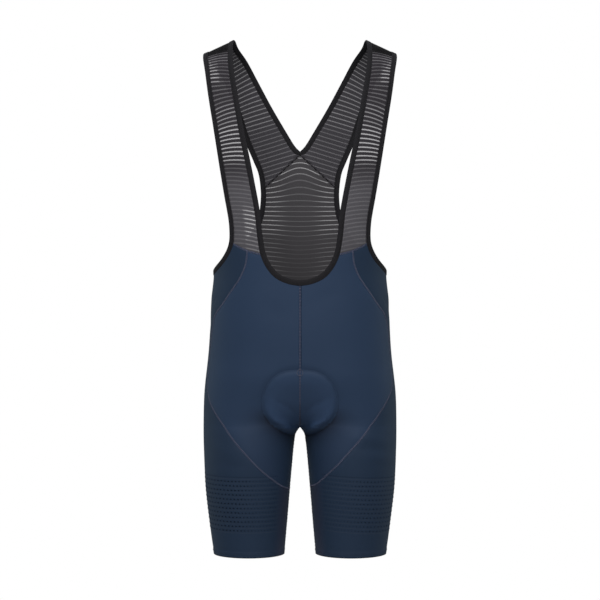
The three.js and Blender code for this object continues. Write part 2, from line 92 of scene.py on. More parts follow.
# Edges and seams of one half, seen from the front: x outward from the centre line.
NECK_FRONT = columns("x z", [
    [114, 14], [115.5, 2], [114, -35], [104, -100], [94, -158], [84, -205], [76, -245],
    [67.5, -292], [62.5, -337], [58, -361], [50, -379], [37, -394.5], [19, -403.5], [0, -406.5],
])
NECK_SEAM_ROW = 9
NECK_BACK = columns("x z", [
    [114, 14], [109.5, 6], [94, -14], [73.5, -51], [50.5, -93], [25, -136], [8, -163], [0, -171],
])
ARMHOLE_FRONT = columns("x z", [
    [168, -10], [168, -21], [162, -55], [152.5, -118], [141.5, -186], [129, -262], [120.5, -315],
    [121, -342], [128, -360], [140, -376],
])
ARM_SEAM_ROW = 7
ARMHOLE_LOWEST = -388.0
ARMHOLE_BACK = columns("x z", [
    [139, -378], [116, -356], [90, -323], [75, -288], [71, -258], [71.5, -237], [75.5, -211],
    [84, -190], [98, -157], [112, -115], [125, -76], [141, -40], [158, -20], [168, -10],
])
ARM_SIDE_ROW = 12
ARM_YOKE_ROW = 16
FRONT_SEAM = columns("x z", [
    [89.5, -357], [92, -379], [101, -401], [116, -423], [132, -446], [148, -471], [154, -508],
    [157, -540], [160, -575], [160, -594], [152, -617], [142, -633], [126, -655], [104, -683],
    [78, -712], [63, -728], [48, -742], [34, -755], [23.5, -763],
])
FRONT_FOOT_ROW = 17
SEAT_SEAM = columns("x z", [
    [118, -385], [126, -420], [137, -455], [148, -500], [154, -545], [156, -590], [146, -625],
    [124, -662], [96, -698], [66, -730], [42, -752], [25, -763],
])
WAIST_ROW = 2
SEAT_FOOT_ROW = 10
WAIST_CENTRE = -448.0
TONGUE = -766.0
LIFT_ABOVE = (-600.0, -540.0)
LIFT_BELOW = (-806.0, -700.0)

PAD_TOP = -557.5
PAD_FRONT = columns("x z", [
    [22, -559.5], [37, -565], [48.5, -574.5], [57, -586], [62.5, -599], [64.5, -615], [61.5, -633],
    [51, -650], [33, -664], [16, -672.5],
])
PAD_LOWEST = -677.0
PAD_BACK = columns("x z", [
    [40, -662], [62, -648], [74, -628], [78, -606], [74, -584], [60, -566], [34, -556],
])
PAD_END = -552.0


def smooth(value: Array, low: float, high: float) -> Array:
    """Smooth step from 0 at low to 1 at high."""
    t = np.clip((value - low) / (high - low), 0, 1)
    return t * t * (3 - 2 * t)


def between(rows: dict[str, Array], column: str, at: Array) -> Array:
    """Value of a column on a cubic through the rows.

    Args:
        rows: a table with z falling.
        column: the name of the column.
        at: the heights asked for.
    Returns:
        The values at those heights.
    """
    z, value = rows["z"], rows[column]
    order = np.arange(len(z))
    before, after = np.maximum(order - 1, 0), np.minimum(order + 1, len(z) - 1)
    slope = (value[after] - value[before]) / (z[after] - z[before])
    i = np.clip(np.searchsorted(-z, -at, side="right") - 1, 0, len(z) - 2)
    span, rise = z[i + 1] - z[i], value[i + 1] - value[i]
    t = np.clip((at - z[i]) / span, 0, 1)
    one, two = slope[i] * span, slope[i + 1] * span
    return value[i] + t * one + t**2 * (3 * rise - 2 * one - two) + t**3 * (one + two - 2 * rise)


@dataclass(frozen=True)
class Figure:
    """The general figure that the garment is cut for, as one skin."""

    hem: float = -882.0
    crotch: float = -657.0
    shoulder_x: float = 145.0
    shoulder_slope: float = 0.445
    shoulder_round: float = 70.0
    tilt_ends: float = 220.0
    front_rise: float = 95.0
    back_rise: float = 110.0
    arch_width: float = 8.0
    arch_depth: float = 13.0
    thigh_spread: float = 0.085
    crotch_blend: float = 100.0
    fullness: float = 0.15
    blend_power: float = 4.0

    @property
    def round_way(self) -> float:
        """Way down the cloth over the rounded shoulder."""
        return self.shoulder_round * math.pi / 2

    def level(self, drop: Array) -> Array:
        """Height of a section at a drop."""
        low = self.round_way - self.shoulder_round - drop
        high = self.shoulder_round * (np.cos(np.minimum(drop, self.round_way) / self.shoulder_round) - 1)
        return np.where(drop >= self.round_way, low, high)

    def drop(self, level: Array) -> Array:
        """Drop of a section at a height."""
        share = np.clip(1 + np.asarray(level, float) / self.shoulder_round, 0, 1)
        low = self.round_way - self.shoulder_round - level
        return np.where(level <= -self.shoulder_round, low, self.shoulder_round * np.arccos(share))

    def tilt(self, level: Array) -> Array:
        """Slope of the sections across the body."""
        return smooth(level, -self.tilt_ends, 0) * self.shoulder_slope

    def inner(self, level: Array) -> Array:
        """Distance of the thigh's inner side from the centre plane."""
        below = np.maximum(self.crotch - level, 0)
        return self.arch_width * (1 - np.exp(-below / self.arch_depth)) + self.thigh_spread * below

    def power(self, level: Array) -> Array:
        """Way round near the inner edge: plain on the trunk, doubled on the leg."""
        return 2 - smooth(level, self.crotch, self.crotch + self.crotch_blend)

    def skin(self, places: Places) -> Array:
        """Points of the skin at places, their sign of x from the way round."""
        turn, drop = places[..., 0], np.maximum(places[..., 1], 0)
        level = self.level(drop)
        turn = np.mod(turn, np.where(level < self.crotch, 2.0, 4.0))
        sign = np.where(turn > 2, -1.0, 1.0)
        half = np.where(turn > 2, 4 - turn, turn)
        behind = half > 1
        inner = self.inner(level)
        way = np.maximum(np.sin(math.pi / 2 * np.where(behind, 2 - half, half)), 0)
        share = way ** self.power(level)
        x = inner + (between(SECTIONS, "half_width", level) - inner) * share

        def either(front: str, back: str) -> Array:
            return np.where(behind, between(SECTIONS, back, level), between(SECTIONS, front, level))

        height = np.where(behind, self.back_rise, self.front_rise)
        rise = np.sqrt(1 - (1 - np.clip((level - self.crotch) / height, 0, 1)) ** 2)
        square = np.maximum(1 - share * share, 0)
        trunk = either("front", "back") * rise * np.sqrt(square) * (1 + self.fullness * share**2)
        thigh = either("thigh_front", "thigh_back") * 2 * np.sqrt(np.maximum(share * (1 - share), 0))
        depth = (trunk**self.blend_power + thigh**self.blend_power) ** (1 / self.blend_power)
        y = between(SECTIONS, "side_y", level) + np.where(behind, depth, -depth)
        fold = np.where(drop < self.round_way, np.sin(drop / self.shoulder_round), 1.0)
        z = level + self.tilt(level) * (self.shoulder_x - x)
        return np.stack([sign * x, y * fold, z], -1)

    def slopes(self, places: Places) -> tuple[Array, Array, Array]:
        """The skin's slopes along round and drop, and its outward normals."""
        d_round, d_drop = np.array([0.004, 0.0]), np.array([0.0, 0.5])
        along_round = (self.skin(places + d_round) - self.skin(places - d_round)) / 0.008
        above = places - d_drop
        above[..., 1] = np.maximum(above[..., 1], 0)
        run = places[..., 1] + 0.5 - above[..., 1]
        along_drop = (self.skin(places + d_drop) - self.skin(above)) / run[..., None]
        normal = unit(np.cross(along_drop, along_round))
        centre = np.minimum(places[..., 0], 2 - places[..., 0]) < 0.01
        at_crotch = centre & (np.abs(self.level(places[..., 1]) - self.crotch) < 1)
        normal[at_crotch] = (0, 0, -1)
        return along_round, along_drop, normal

    def place(self, x: Array, z: Array, behind: bool) -> Places:
        """Places of the skin's points seen from the front at x, z."""
        x, z = np.asarray(x, float), np.asarray(z, float)
        low, high = np.full(x.shape, self.hem - 20), np.zeros(x.shape)
        for _ in range(40):
            middle = (low + high) / 2
            under = middle + self.tilt(middle) * (self.shoulder_x - x) < z
            low, high = np.where(under, middle, low), np.where(under, high, middle)
        inner = self.inner(high)
        half = between(SECTIONS, "half_width", high)
        share = np.clip((x - inner) / (half - inner), 0, 1)
        way = np.arcsin(share ** (1 / self.power(high))) * 2 / math.pi
        return np.stack([2 - way if behind else way, self.drop(high)], -1)

    def places(self, rows: dict[str, Array], behind: bool) -> Places:
        """Places of a table's rows."""
        return self.place(rows["x"], rows["z"], behind)


def unit(vectors: Array) -> Array:
    """Vectors of length one."""
    return vectors / np.maximum(np.linalg.norm(vectors, axis=-1, keepdims=True), 1e-12)


def mix(a: Places, b: Places, share: Array) -> Places:
    """Places part of the way from a to b."""
    return a + (b - a) * np.asarray(share)[..., None]


def lengths(points: Array) -> Array:
    """Way along a row of points, from 0 at the first."""
    return np.concatenate([[0], np.cumsum(np.linalg.norm(np.diff(points, axis=0), axis=1))])


FIGURE = Figure()
ROUND_SIZE = 250.0
EDGE_FADE = 3


class Line:
    """A smooth line over the skin through places."""

    def __init__(self, places: Places) -> None:
        """Keeps the places as knots, with one more beyond each end."""
        knots = places * (ROUND_SIZE, 1)
        self.knots = np.vstack([2 * knots[0] - knots[1], knots, 2 * knots[-1] - knots[-2]])

    def at(self, rows: Array) -> Places:
        """Places at fractional rows of the knots."""
        i = np.clip(np.floor(rows).astype(int), 0, len(self.knots) - 4)
        p = [self.knots[i + k] for k in range(4)]
        gap = [np.sqrt(np.linalg.norm(p[k + 1] - p[k], axis=-1, keepdims=True)) for k in range(3)]
        one = (p[1] - p[0]) / gap[0] - (p[2] - p[0]) / (gap[0] + gap[1]) + (p[2] - p[1]) / gap[1]
        two = (p[2] - p[1]) / gap[1] - (p[3] - p[1]) / (gap[1] + gap[2]) + (p[3] - p[2]) / gap[2]
        one, two, rise = one * gap[1], two * gap[1], p[2] - p[1]
        t = (rows - i)[:, None]
        flat = p[1] + t * one + t**2 * (3 * rise - 2 * one - two) + t**3 * (one + two - 2 * rise)
        places = flat / (ROUND_SIZE, 1)
        places[:, 1] = np.maximum(places[:, 1], 0)
        return places

    def cut(self, start: float, stop: float, steps: int) -> Places:
        """Places between two rows, evenly far apart on the skin."""
        fine = self.at(np.linspace(start, stop, max(241, 3 * steps)))
        way = lengths(FIGURE.skin(fine))
        even = np.linspace(0, way[-1], steps + 1)
        return np.stack([np.interp(even, way, fine[:, k]) for k in range(2)], -1)


def straight(a: Places, b: Places, steps: int) -> Places:
    """Places evenly far apart between two."""
    return Line(np.array([a, mix(a, b, 0.5), b])).cut(0, 2, steps)


def even(places: Places, spacing: float) -> Places:
    """The same line cut to an even spacing, in millimetres."""
    way = lengths(FIGURE.skin(places))
    to = np.linspace(0, way[-1], max(2, round(way[-1] / spacing)) + 1)
    return np.stack([np.interp(to, way, places[:, k]) for k in range(2)], -1)


def inset(places: Places, distance: float) -> Places:
    """Each place moved over the skin by a distance, square to the line."""
    points = FIGURE.skin(places)
    along_round, along_drop, normal = FIGURE.slopes(places)
    way = distance * unit(np.cross(np.gradient(points, axis=0), normal))
    rr, rd, dd = (np.sum(a * b, -1) for a, b in (
        (along_round, along_round), (along_round, along_drop), (along_drop, along_drop)))
    r, d = np.sum(along_round * way, -1), np.sum(along_drop * way, -1)
    det = rr * dd - rd * rd
    moved = places + np.stack([(r * dd - d * rd) / det, (d * rr - r * rd) / det], -1)
    moved[:, 1] = np.maximum(moved[:, 1], 0)
    return moved


def net(a: Places, b: Places, wide: int, top: Optional[Places] = None,
        foot: Optional[Places] = None) -> Places:
    """A net of places between two side rails.

    Args:
        a: the first rail.
        b: the second rail, with as many places.
        wide: how many columns of faces.
        top: what the first row follows, where it isn't straight.
        foot: what the last row follows.
    Returns:
        Places by row and column.
    """
    plain = mix(a[:, None], b[:, None], np.linspace(0, 1, wide + 1))
    down = np.linspace(0, 1, len(a))[:, None, None]
    places = plain.copy()
    if top is not None:
        places += (1 - down) ** EDGE_FADE * (top - plain[0])
    if foot is not None:
        places += down**EDGE_FADE * (foot - plain[-1])
    return places


class Side(Enum):
    """The two sides, as seen from the front, with how far the curved seams sit above their mean."""

    LEFT = ("left", -1, -7.0)
    RIGHT = ("right", 1, 7.0)

    @property
    def word(self) -> str:
        """The side's name."""
        return self.value[0]

    @property
    def sign(self) -> int:
        """Sign of x on this side."""
        return self.value[1]

    @property
    def lift(self) -> float:
        """How far the curved seams are lifted across the thigh."""
        return self.value[2]


@dataclass(frozen=True)
class Steps:
    """How finely each stretch is divided."""

    strap_front: int = 144
    strap_back: int = 96
    strap_wide: int = 16
    neck_u: int = 44
    centre_front: int = 96
    inseam: int = 40
    strap_seam: int = 12
    underarm: int = 48
    ribs: int = 56
    centre_back: int = 84
    back_armhole: int = 76
    back_wide: int = 40
    panel_wide: int = 56
    leg: int = 44
    pad: int = 36
    pad_wide: int = 22

    @property
    def front_seam(self) -> int:
        """Steps of the front's long seam, as many as its other rail has."""
        return self.neck_u + self.centre_front + self.inseam

    @property
    def seat_seam(self) -> int:
        """Steps of the seat's long seam, as many as its other rail has."""
        return self.centre_back + self.inseam


STEPS = Steps()
BINDING_WIDTH = 9.0
SEAM_GAP = 0.3


def turned(places: Places, about: float) -> Places:
    """Places on the other side of the plane where the way round is about."""
    return np.stack([2 * about - places[..., 0], places[..., 1]], -1)


@dataclass
class SidePattern:
    """The nets and seams of one side, seen from the front."""

    side: Side
    front: Places
    seat: Places
    hip: Places
    leg: Places
    front_seam: Places
    seat_seam: Places


class Pattern:
    """The cut of the whole garment as nets and seam lines on the skin."""

    def __init__(self) -> None:
        """Cuts the opening edges, then the seams, then the nets."""
        self.cut_openings()
        self.cut_shared_seams()
        self.sides = [self.cut_side(side) for side in Side]

    def cut_openings(self) -> None:
        """Cuts the opening edges and the seams a binding's width beside them."""
        neck_front = FIGURE.places(NECK_FRONT, False)
        neck_back = FIGURE.places(NECK_BACK, True)
        lowest = np.array([[1.0, float(FIGURE.drop(ARMHOLE_LOWEST))]])
        armhole = np.vstack([FIGURE.places(ARMHOLE_FRONT, False), lowest,
                             FIGURE.places(ARMHOLE_BACK, True)])
        neck = Line(np.vstack([neck_front, turned(neck_front[-2], 0)]))
        last = len(armhole) - 1
        self.neck_front_edge = self.stretches(
            neck, (0, NECK_SEAM_ROW, len(neck_front) - 1), (STEPS.strap_front, STEPS.neck_u))
        self.neck_back_edge = Line(neck_back).cut(0, len(neck_back) - 1, STEPS.strap_back)
        self.armhole_edge = self.stretches(
            Line(armhole), (0, ARM_SEAM_ROW, ARM_SIDE_ROW, ARM_YOKE_ROW, last),
            (STEPS.strap_front, STEPS.underarm, STEPS.back_armhole, STEPS.strap_back))
        self.neck_front_seam = inset(self.neck_front_edge, -BINDING_WIDTH)
        self.neck_back_seam = inset(self.neck_back_edge, BINDING_WIDTH)
        self.armhole_seam = inset(self.armhole_edge, BINDING_WIDTH)
        self.neck_front_seam[-1, 0] = 0
        self.neck_back_seam[-1, 0] = 2
        self.neck_front_seam[0, 1] = 0
        self.armhole_seam[0, 1] = 0
        self.neck_back_seam[0] = turned(self.neck_front_seam[0], 1)
        self.armhole_seam[-1] = turned(self.armhole_seam[0], 1)

    @staticmethod
    def stretches(line: Line, rows: Sequence[int], steps: Sequence[int]) -> Places:
        """One edge, cut stretch by stretch so that a place falls on each of the rows."""
        cuts = [line.cut(a, b, n) for a, b, n in zip(rows, rows[1:], steps)]
        return np.vstack([cuts[0], *(cut[1:] for cut in cuts[1:])])

    def cut_shared_seams(self) -> None:
        """Works out the seams that don't differ left and right."""
        under = STEPS.strap_front
        side = under + STEPS.underarm
        yoke = side + STEPS.back_armhole
        arm = self.armhole_seam
        self.neck_strap = self.neck_front_seam[: under + 1]
        self.neck_u = self.neck_front_seam[under:]
        self.arm_strap = arm[: under + 1]
        self.arm_under = arm[under: side + 1]
        self.arm_back = arm[side: yoke + 1]
        self.arm_strap_back = arm[yoke:][::-1]
        top = FIGURE.place(FRONT_SEAM["x"][:1], FRONT_SEAM["z"][:1], False)[0]
        self.strap_seam = Line(np.array([self.neck_strap[-1], top, self.arm_strap[-1]]))
        self.crest = straight(self.neck_strap[0], self.arm_strap[0], STEPS.strap_wide)
        self.yoke = self.straight_seam(self.neck_back_seam[-1], self.arm_strap_back[-1])
        self.crotch = np.array([0.0, float(FIGURE.drop(FIGURE.crotch))])
        self.crotch_back = turned(self.crotch, 1)
        self.waist_centre = np.array([2.0, float(FIGURE.drop(WAIST_CENTRE))])
        rib_line = Line(np.vstack([self.arm_back[:1], FIGURE.places(SEAT_SEAM, True)[1:]]))
        self.ribs = rib_line.cut(0, WAIST_ROW, STEPS.ribs)
        self.waist = straight(self.waist_centre, self.ribs[-1], STEPS.panel_wide)
        self.centre_front = straight(self.neck_u[-1], self.crotch, STEPS.centre_front)
        self.centre_back = straight(self.waist_centre, self.crotch_back, STEPS.centre_back)
        self.inseam = straight(self.crotch, np.array([0.0, float(FIGURE.drop(FIGURE.hem))]), 80)

    @staticmethod
    def straight_seam(a: Places, b: Places, steps: int = 60) -> Places:
        """A seam behind that is straight, seen from the front."""
        one, two = FIGURE.skin(a), FIGURE.skin(b)
        t = np.linspace(0, 1, steps + 1)
        places = FIGURE.place(one[0] + (two[0] - one[0]) * t, one[2] + (two[2] - one[2]) * t, True)
        places[0], places[-1] = a, b
        return places

    @staticmethod
    def long_line(rows: dict[str, Array], lift: float, behind: bool) -> tuple[Line, int]:
        """A long curved seam, lifted across the thigh, and its row at the inseam.

        Args:
            rows: the seam's table.
            lift: how far it is lifted.
            behind: True for the seat's seam.
        Returns:
            The line and the row that lies on the inseam.
        """
        def lifted(z: Array) -> Array:
            return z + lift * (1 - smooth(z, *LIFT_ABOVE)) * smooth(z, *LIFT_BELOW)

        places = FIGURE.place(rows["x"], lifted(rows["z"]), behind)
        centre = 2.0 if behind else 0.0
        tip = np.array([[centre, float(FIGURE.drop(lifted(np.array(TONGUE))))]])
        return Line(np.vstack([places, tip, turned(places[-1:], centre)])), len(places)

    def cut_side(self, side: Side) -> SidePattern:
        """Cuts the navy pieces of one side."""
        line, tip = self.long_line(FRONT_SEAM, side.lift, False)
        front_side = line.cut(0, FRONT_FOOT_ROW, STEPS.front_seam)
        front_foot = line.cut(FRONT_FOOT_ROW, tip, STEPS.panel_wide)
        line, tip = self.long_line(SEAT_SEAM, side.lift, True)
        seat_side = line.cut(WAIST_ROW, SEAT_FOOT_ROW, STEPS.seat_seam)
        seat_foot = line.cut(SEAT_FOOT_ROW, tip, STEPS.panel_wide)
        strap_front = self.strap_seam.cut(0, 1, STEPS.panel_wide)
        strap_side = self.strap_seam.cut(1, 2, STEPS.strap_seam)
        front_rail = np.vstack([
            self.neck_u, self.centre_front[1:],
            straight(self.crotch, front_foot[-1], STEPS.inseam)[1:]])
        seat_rail = np.vstack([
            self.centre_back, straight(self.crotch_back, seat_foot[-1], STEPS.inseam)[1:]])
        side_back = np.vstack([self.ribs, seat_side[1:]])
        side_top = np.vstack([strap_side, self.arm_under[1:]])
        hip = net(front_side, side_back, len(side_top) - 1, side_top)
        leg_top = np.vstack([front_foot[::-1], hip[-1][1:], seat_foot[1:]])
        hem = np.stack([leg_top[:, 0], np.full(len(leg_top), FIGURE.drop(FIGURE.hem))], -1)
        return SidePattern(
            side,
            net(front_rail, front_side, STEPS.panel_wide, strap_front, front_foot[::-1]),
            net(seat_rail, seat_side, STEPS.panel_wide, self.waist, seat_foot[::-1]),
            hip,
            self.down(leg_top, hem),
            np.vstack([front_side, front_foot[1:]]),
            np.vstack([side_back, seat_foot[1:]]))

    @staticmethod
    def down(top: Places, foot: Places) -> Places:
        """A net that runs from a top row down to a foot row."""
        return mix(top[None], foot[None], np.linspace(0, 1, STEPS.leg + 1)[:, None])

    def strap_front_net(self) -> Places:
        """The front strap, from the shoulder line down to its seam."""
        foot = self.strap_seam.cut(0, 2, STEPS.strap_wide)
        return net(self.neck_strap, self.arm_strap, STEPS.strap_wide, None, foot)

    def strap_back_net(self) -> Places:
        """The back strap, from the shoulder line down to the yoke."""
        foot = resampled(self.yoke, STEPS.strap_wide)
        return net(self.neck_back_seam, self.arm_strap_back, STEPS.strap_wide, None, foot)

    def back_net(self) -> Places:
        """One half of the mesh back, from the yoke to the waist seam."""
        rail = np.vstack([self.arm_back[::-1], self.ribs[1:]])
        centre = straight(self.yoke[0], self.waist_centre, len(rail) - 1)
        return net(centre, rail, STEPS.back_wide, resampled(self.yoke, STEPS.back_wide),
                   resampled(self.waist, STEPS.back_wide))


def resampled(places: Places, steps: int) -> Places:
    """The same line in a given number of even steps."""
    way = lengths(FIGURE.skin(places))
    to = np.linspace(0, way[-1], steps + 1)
    return np.stack([np.interp(to, way, places[:, k]) for k in range(2)], -1)


@dataclass(frozen=True)
class Fold:
    """A soft ridge, or a trough where height is below 0, between two places of the skin."""

    turn: float
    z: float
    turn_end: float
    z_end: float
    width: float
    height: float
    bow: float = 0.0


# turn is signed: + right and - left as seen from the front, 1 at the side and 2 at the centre back.
FOLDS = [
    Fold(0.42, -676, 0.86, -690, 9.0, 0.9, 6),
    Fold(0.46, -692, 0.80, -706, 8.0, -0.7, 5),
    Fold(0.50, -709, 0.93, -722, 9.0, 0.8, 5),
    Fold(-0.50, -700, -0.84, -686, 9.0, 0.6, 4),
    Fold(-0.44, -724, -0.78, -716, 8.0, -0.5, 3),
    Fold(0.08, -640, 0.34, -604, 7.0, -0.9, 5),
    Fold(-0.07, -636, -0.31, -598, 7.0, -0.8, 4),
    Fold(0.12, -656, 0.44, -640, 7.5, 0.9, -4),
    Fold(-0.11, -658, -0.40, -646, 7.5, 0.7, -4),
    Fold(0.03, -452, 0.36, -428, 12.0, -0.5, 6),
    Fold(-0.03, -470, -0.32, -440, 13.0, -0.6, 6),
    Fold(0.66, -420, 0.98, -446, 10.0, 0.7, 6),
    Fold(-0.64, -412, -0.99, -436, 10.0, 0.6, 6),
    Fold(0.80, -470, 1.25, -458, 11.0, -0.7, 8),
    Fold(-0.84, -478, -1.22, -470, 11.0, -0.6, 8),
    Fold(1.30, -655, 1.92, -700, 9.0, -1.6, 16),
    Fold(1.42, -674, 1.86, -716, 8.5, 1.2, 13),
    Fold(-1.28, -660, -1.90, -706, 9.0, -1.5, 17),
    Fold(-1.46, -684, -1.84, -722, 8.0, 1.1, 12),
    Fold(1.36, -742, 1.86, -760, 9.0, 1.0, 7),
    Fold(1.44, -766, 1.80, -778, 8.0, -0.8, 5),
    Fold(-1.30, -750, -1.76, -764, 9.0, 0.9, 6),
    Fold(1.96, -470, 1.52, -452, 9.0, 1.1, 5),
    Fold(1.98, -488, 1.60, -474, 8.0, -0.9, 5),
    Fold(-1.97, -478, -1.55, -458, 9.0, 1.0, 6),
    Fold(-1.97, -500, -1.64, -490, 8.0, -0.7, 4),
    Fold(1.90, -560, 1.66, -520, 10.0, -0.8, 4),
    Fold(-1.90, -556, -1.68, -522, 10.0, -0.7, 4),
]
TURN_WAY = 235.0


@dataclass
class Relief:
    """How far the cloth stands off the skin: pad, folds, seams and hem, and the painted light and shade on
    the front pieces.
    """

    pad_swell: float = 1.6
    pad_bulge: float = 5.6
    pad_shoulder: float = 28.0
    pad_groove: float = 1.5
    # Painted shade on the thighs: the most that the tone darkens them
    thigh_tone: float = 0.22
    seam_dip: float = 0.55
    seam_reach: float = 4.5
    pucker: float = 0.16
    pucker_pitch: float = 6.5
    hem_height: float = 10.0
    hem_step: float = 0.55
    drift: float = 0.35
    seams: dict[str, Array] = field(default_factory=dict)
    trees: dict[str, "KDTree"] = field(default_factory=dict)

    def remember(self, name: str, points: Array) -> None:
        """Keeps a set of points of seam lines under a name."""
        tree = KDTree(len(points))
        for i, point in enumerate(points):
            tree.insert(point, i)
        tree.balance()
        self.trees[name] = tree

    def reach(self, name: str, points: Array) -> tuple[Array, Array]:
        """Distance of points to the lines kept under a name, and the nearest line point's number."""
        found = [self.trees[name].find(point) for point in points]
        return np.array([f[2] for f in found]), np.array([f[1] for f in found])

    def folds(self, points: Array, turns: Array) -> Array:
        """Height of the soft folds at points, from their signed way round and their height."""
        flat = np.stack([turns * TURN_WAY, points[:, 2]], -1)
        height = np.zeros(len(points))
        for f in FOLDS:
            a = np.array([f.turn * TURN_WAY, f.z])
            way = np.array([f.turn_end * TURN_WAY, f.z_end]) - a
            size = float(np.linalg.norm(way))
            along = (flat - a) @ way / size**2
            across = (flat - a) @ np.array([-way[1], way[0]]) / size
            across = across - f.bow * np.sin(math.pi * np.clip(along, 0, 1))
            taper = np.sin(math.pi * np.clip(along, 0, 1)) ** 1.5
            height += f.height * taper * np.exp(-((across / f.width) ** 2))
        return height

    def at(self, points: Array, turns: Array, padded: bool, hemmed: bool) -> Array:
        """Height of the cloth over the skin.

        Args:
            points: points of the skin.
            turns: their signed way round.
            padded: True where the pad is stitched under the cloth.
            hemmed: True where the cloth reaches the hem.
        Returns:
            Millimetres along the outward normal.
        """
        distance, nearest = self.reach("seams", points)
        near = np.exp(-((distance / self.seam_reach) ** 2))
        wave = np.sin(2 * math.pi * nearest * SEAM_SPACING / self.pucker_pitch)
        height = -self.seam_dip * near + self.pucker * near * wave + self.folds(points, turns)
        slow = (np.sin(points[:, 2] / 31 + turns * 3.1) * np.sin(turns * 7.3 + points[:, 2] / 83)
                + 0.6 * np.sin(points[:, 2] / 17 - turns * 9.7))
        height += self.drift * slow * 0.5
        if padded:
            inside = self.inside_pad(turns, points[:, 2])
            edge, _ = self.reach("pad", points)
            low = np.maximum(smooth(points[:, 2], -678, -640),
                             smooth(np.abs(points[:, 0]), 10, 28))
            under = smooth(-points[:, 2], 585, 650) * (np.abs(turns) < 1)
            swell = self.pad_swell + self.pad_bulge * under
            shoulder = self.pad_shoulder * (1 - 0.6 * under)
            height += swell * inside * low * smooth(edge / shoulder, 0, 1) ** 0.7
            height -= self.pad_groove * (0.3 + 0.7 * low) * np.exp(-((edge / 4.4) ** 2))
        if hemmed:
            up = points[:, 2] - FIGURE.hem
            height += self.hem_step * (1 - smooth(up, self.hem_height - 1.2, self.hem_height + 1.2))
            height -= 0.35 * np.exp(-(((up - self.hem_height) / 1.4) ** 2))
        return height

    def tone(self, points: Array, turns: Array) -> Array:
        """How much painted light lies on the cloth over the pad, or below 0 how much painted shade: a
        painted shadow under the pad and painted shade on the thighs.
        """
        z = points[:, 2]
        inside = self.inside_pad(turns, z)
        edge, _ = self.reach("pad", points)
        # Painted light over the pad, most low down where its surface turns away; it also gives the cloth
        # there its bluer tint.
        over = inside * smooth(edge, 1, 8) * (0.2 + 0.8 * smooth(-z, 590, 655))
        # A painted shadow under the pad's lower edge.
        under = (1 - inside) * np.exp(-edge / 16) * smooth(-z, 615, 650)
        # Painted shade on the thighs, darker lower down.
        thigh = self.thigh_tone * smooth(-z, 640, 730)
        return np.where(np.abs(turns) < 1, over - under - thigh, 0)

    def inside_pad(self, turns: Array, z: Array) -> Array:
        """1 where a place lies over the pad, else 0."""
        flat = np.stack([np.abs(turns), FIGURE.drop(z)], -1)
        return inside(self.seams["pad_front"], flat) + inside(self.seams["pad_back"], flat)


SEAM_SPACING = 2.0


def inside(outline: Array, flat: Array) -> Array:
    """1 for flat points inside a closed outline, by crossings."""
    ends = np.roll(outline, -1, axis=0)
    crossed = np.zeros(len(flat), bool)
    for (x0, y0), (x1, y1) in zip(outline, ends):
        if y0 == y1:
            continue
        over = (flat[:, 1] >= min(y0, y1)) & (flat[:, 1] < max(y0, y1))
        crossed ^= over & (flat[:, 0] < x0 + (flat[:, 1] - y0) * (x1 - x0) / (y1 - y0))
    return crossed.astype(float)


def mesh_object(name: str, points: Array, faces: Array, cut: Optional[Array] = None) -> bpy.types.Object:
    """A smooth-shaded object from points in millimetres.

    Args:
        name: the piece's name.
        points: its points.
        faces: its triangles.
        cut: each point's place on the cloth in metres, kept as the UV map "cut".
    Returns:
        The object, linked to the scene.
    """
    mesh = bpy.data.meshes.new(name)
    mesh.vertices.add(len(points))
    mesh.vertices.foreach_set("co", (points * MM).astype(np.float32).ravel())
    mesh.loops.add(faces.size)
    mesh.loops.foreach_set("vertex_index", faces.astype(np.int32).ravel())
    mesh.polygons.add(len(faces))
    mesh.polygons.foreach_set("loop_start", np.arange(0, faces.size, 3, dtype=np.int32))
    if cut is not None:
        layer = mesh.uv_layers.new(name="cut")
        layer.uv.foreach_set("vector", cut[faces.ravel()].astype(np.float32).ravel())
    mesh.update(calc_edges=True)
    mesh.validate()
    mesh.shade_smooth()
    obj = bpy.data.objects.new(name, mesh)
    bpy.context.scene.collection.objects.link(obj)
    return obj


def points_of(mesh: bpy.types.Mesh) -> Array:
    """A mesh's points in millimetres."""
    values = np.empty(len(mesh.vertices) * 3, np.float32)
    mesh.vertices.foreach_get("co", values)
    return values.reshape(-1, 3).astype(float) / MM


def set_points(mesh: bpy.types.Mesh, points: Array) -> None:
    """Moves a mesh's points, given in millimetres."""
    mesh.vertices.foreach_set("co", (points * MM).astype(np.float32).ravel())
    mesh.update()


def applied(obj: bpy.types.Object) -> None:
    """Turns an object's modifiers into its mesh."""
    graph = bpy.context.evaluated_depsgraph_get()
    made = bpy.data.meshes.new_from_object(obj.evaluated_get(graph))
    obj.modifiers.clear()
    obj.data = made
    made.name = obj.name


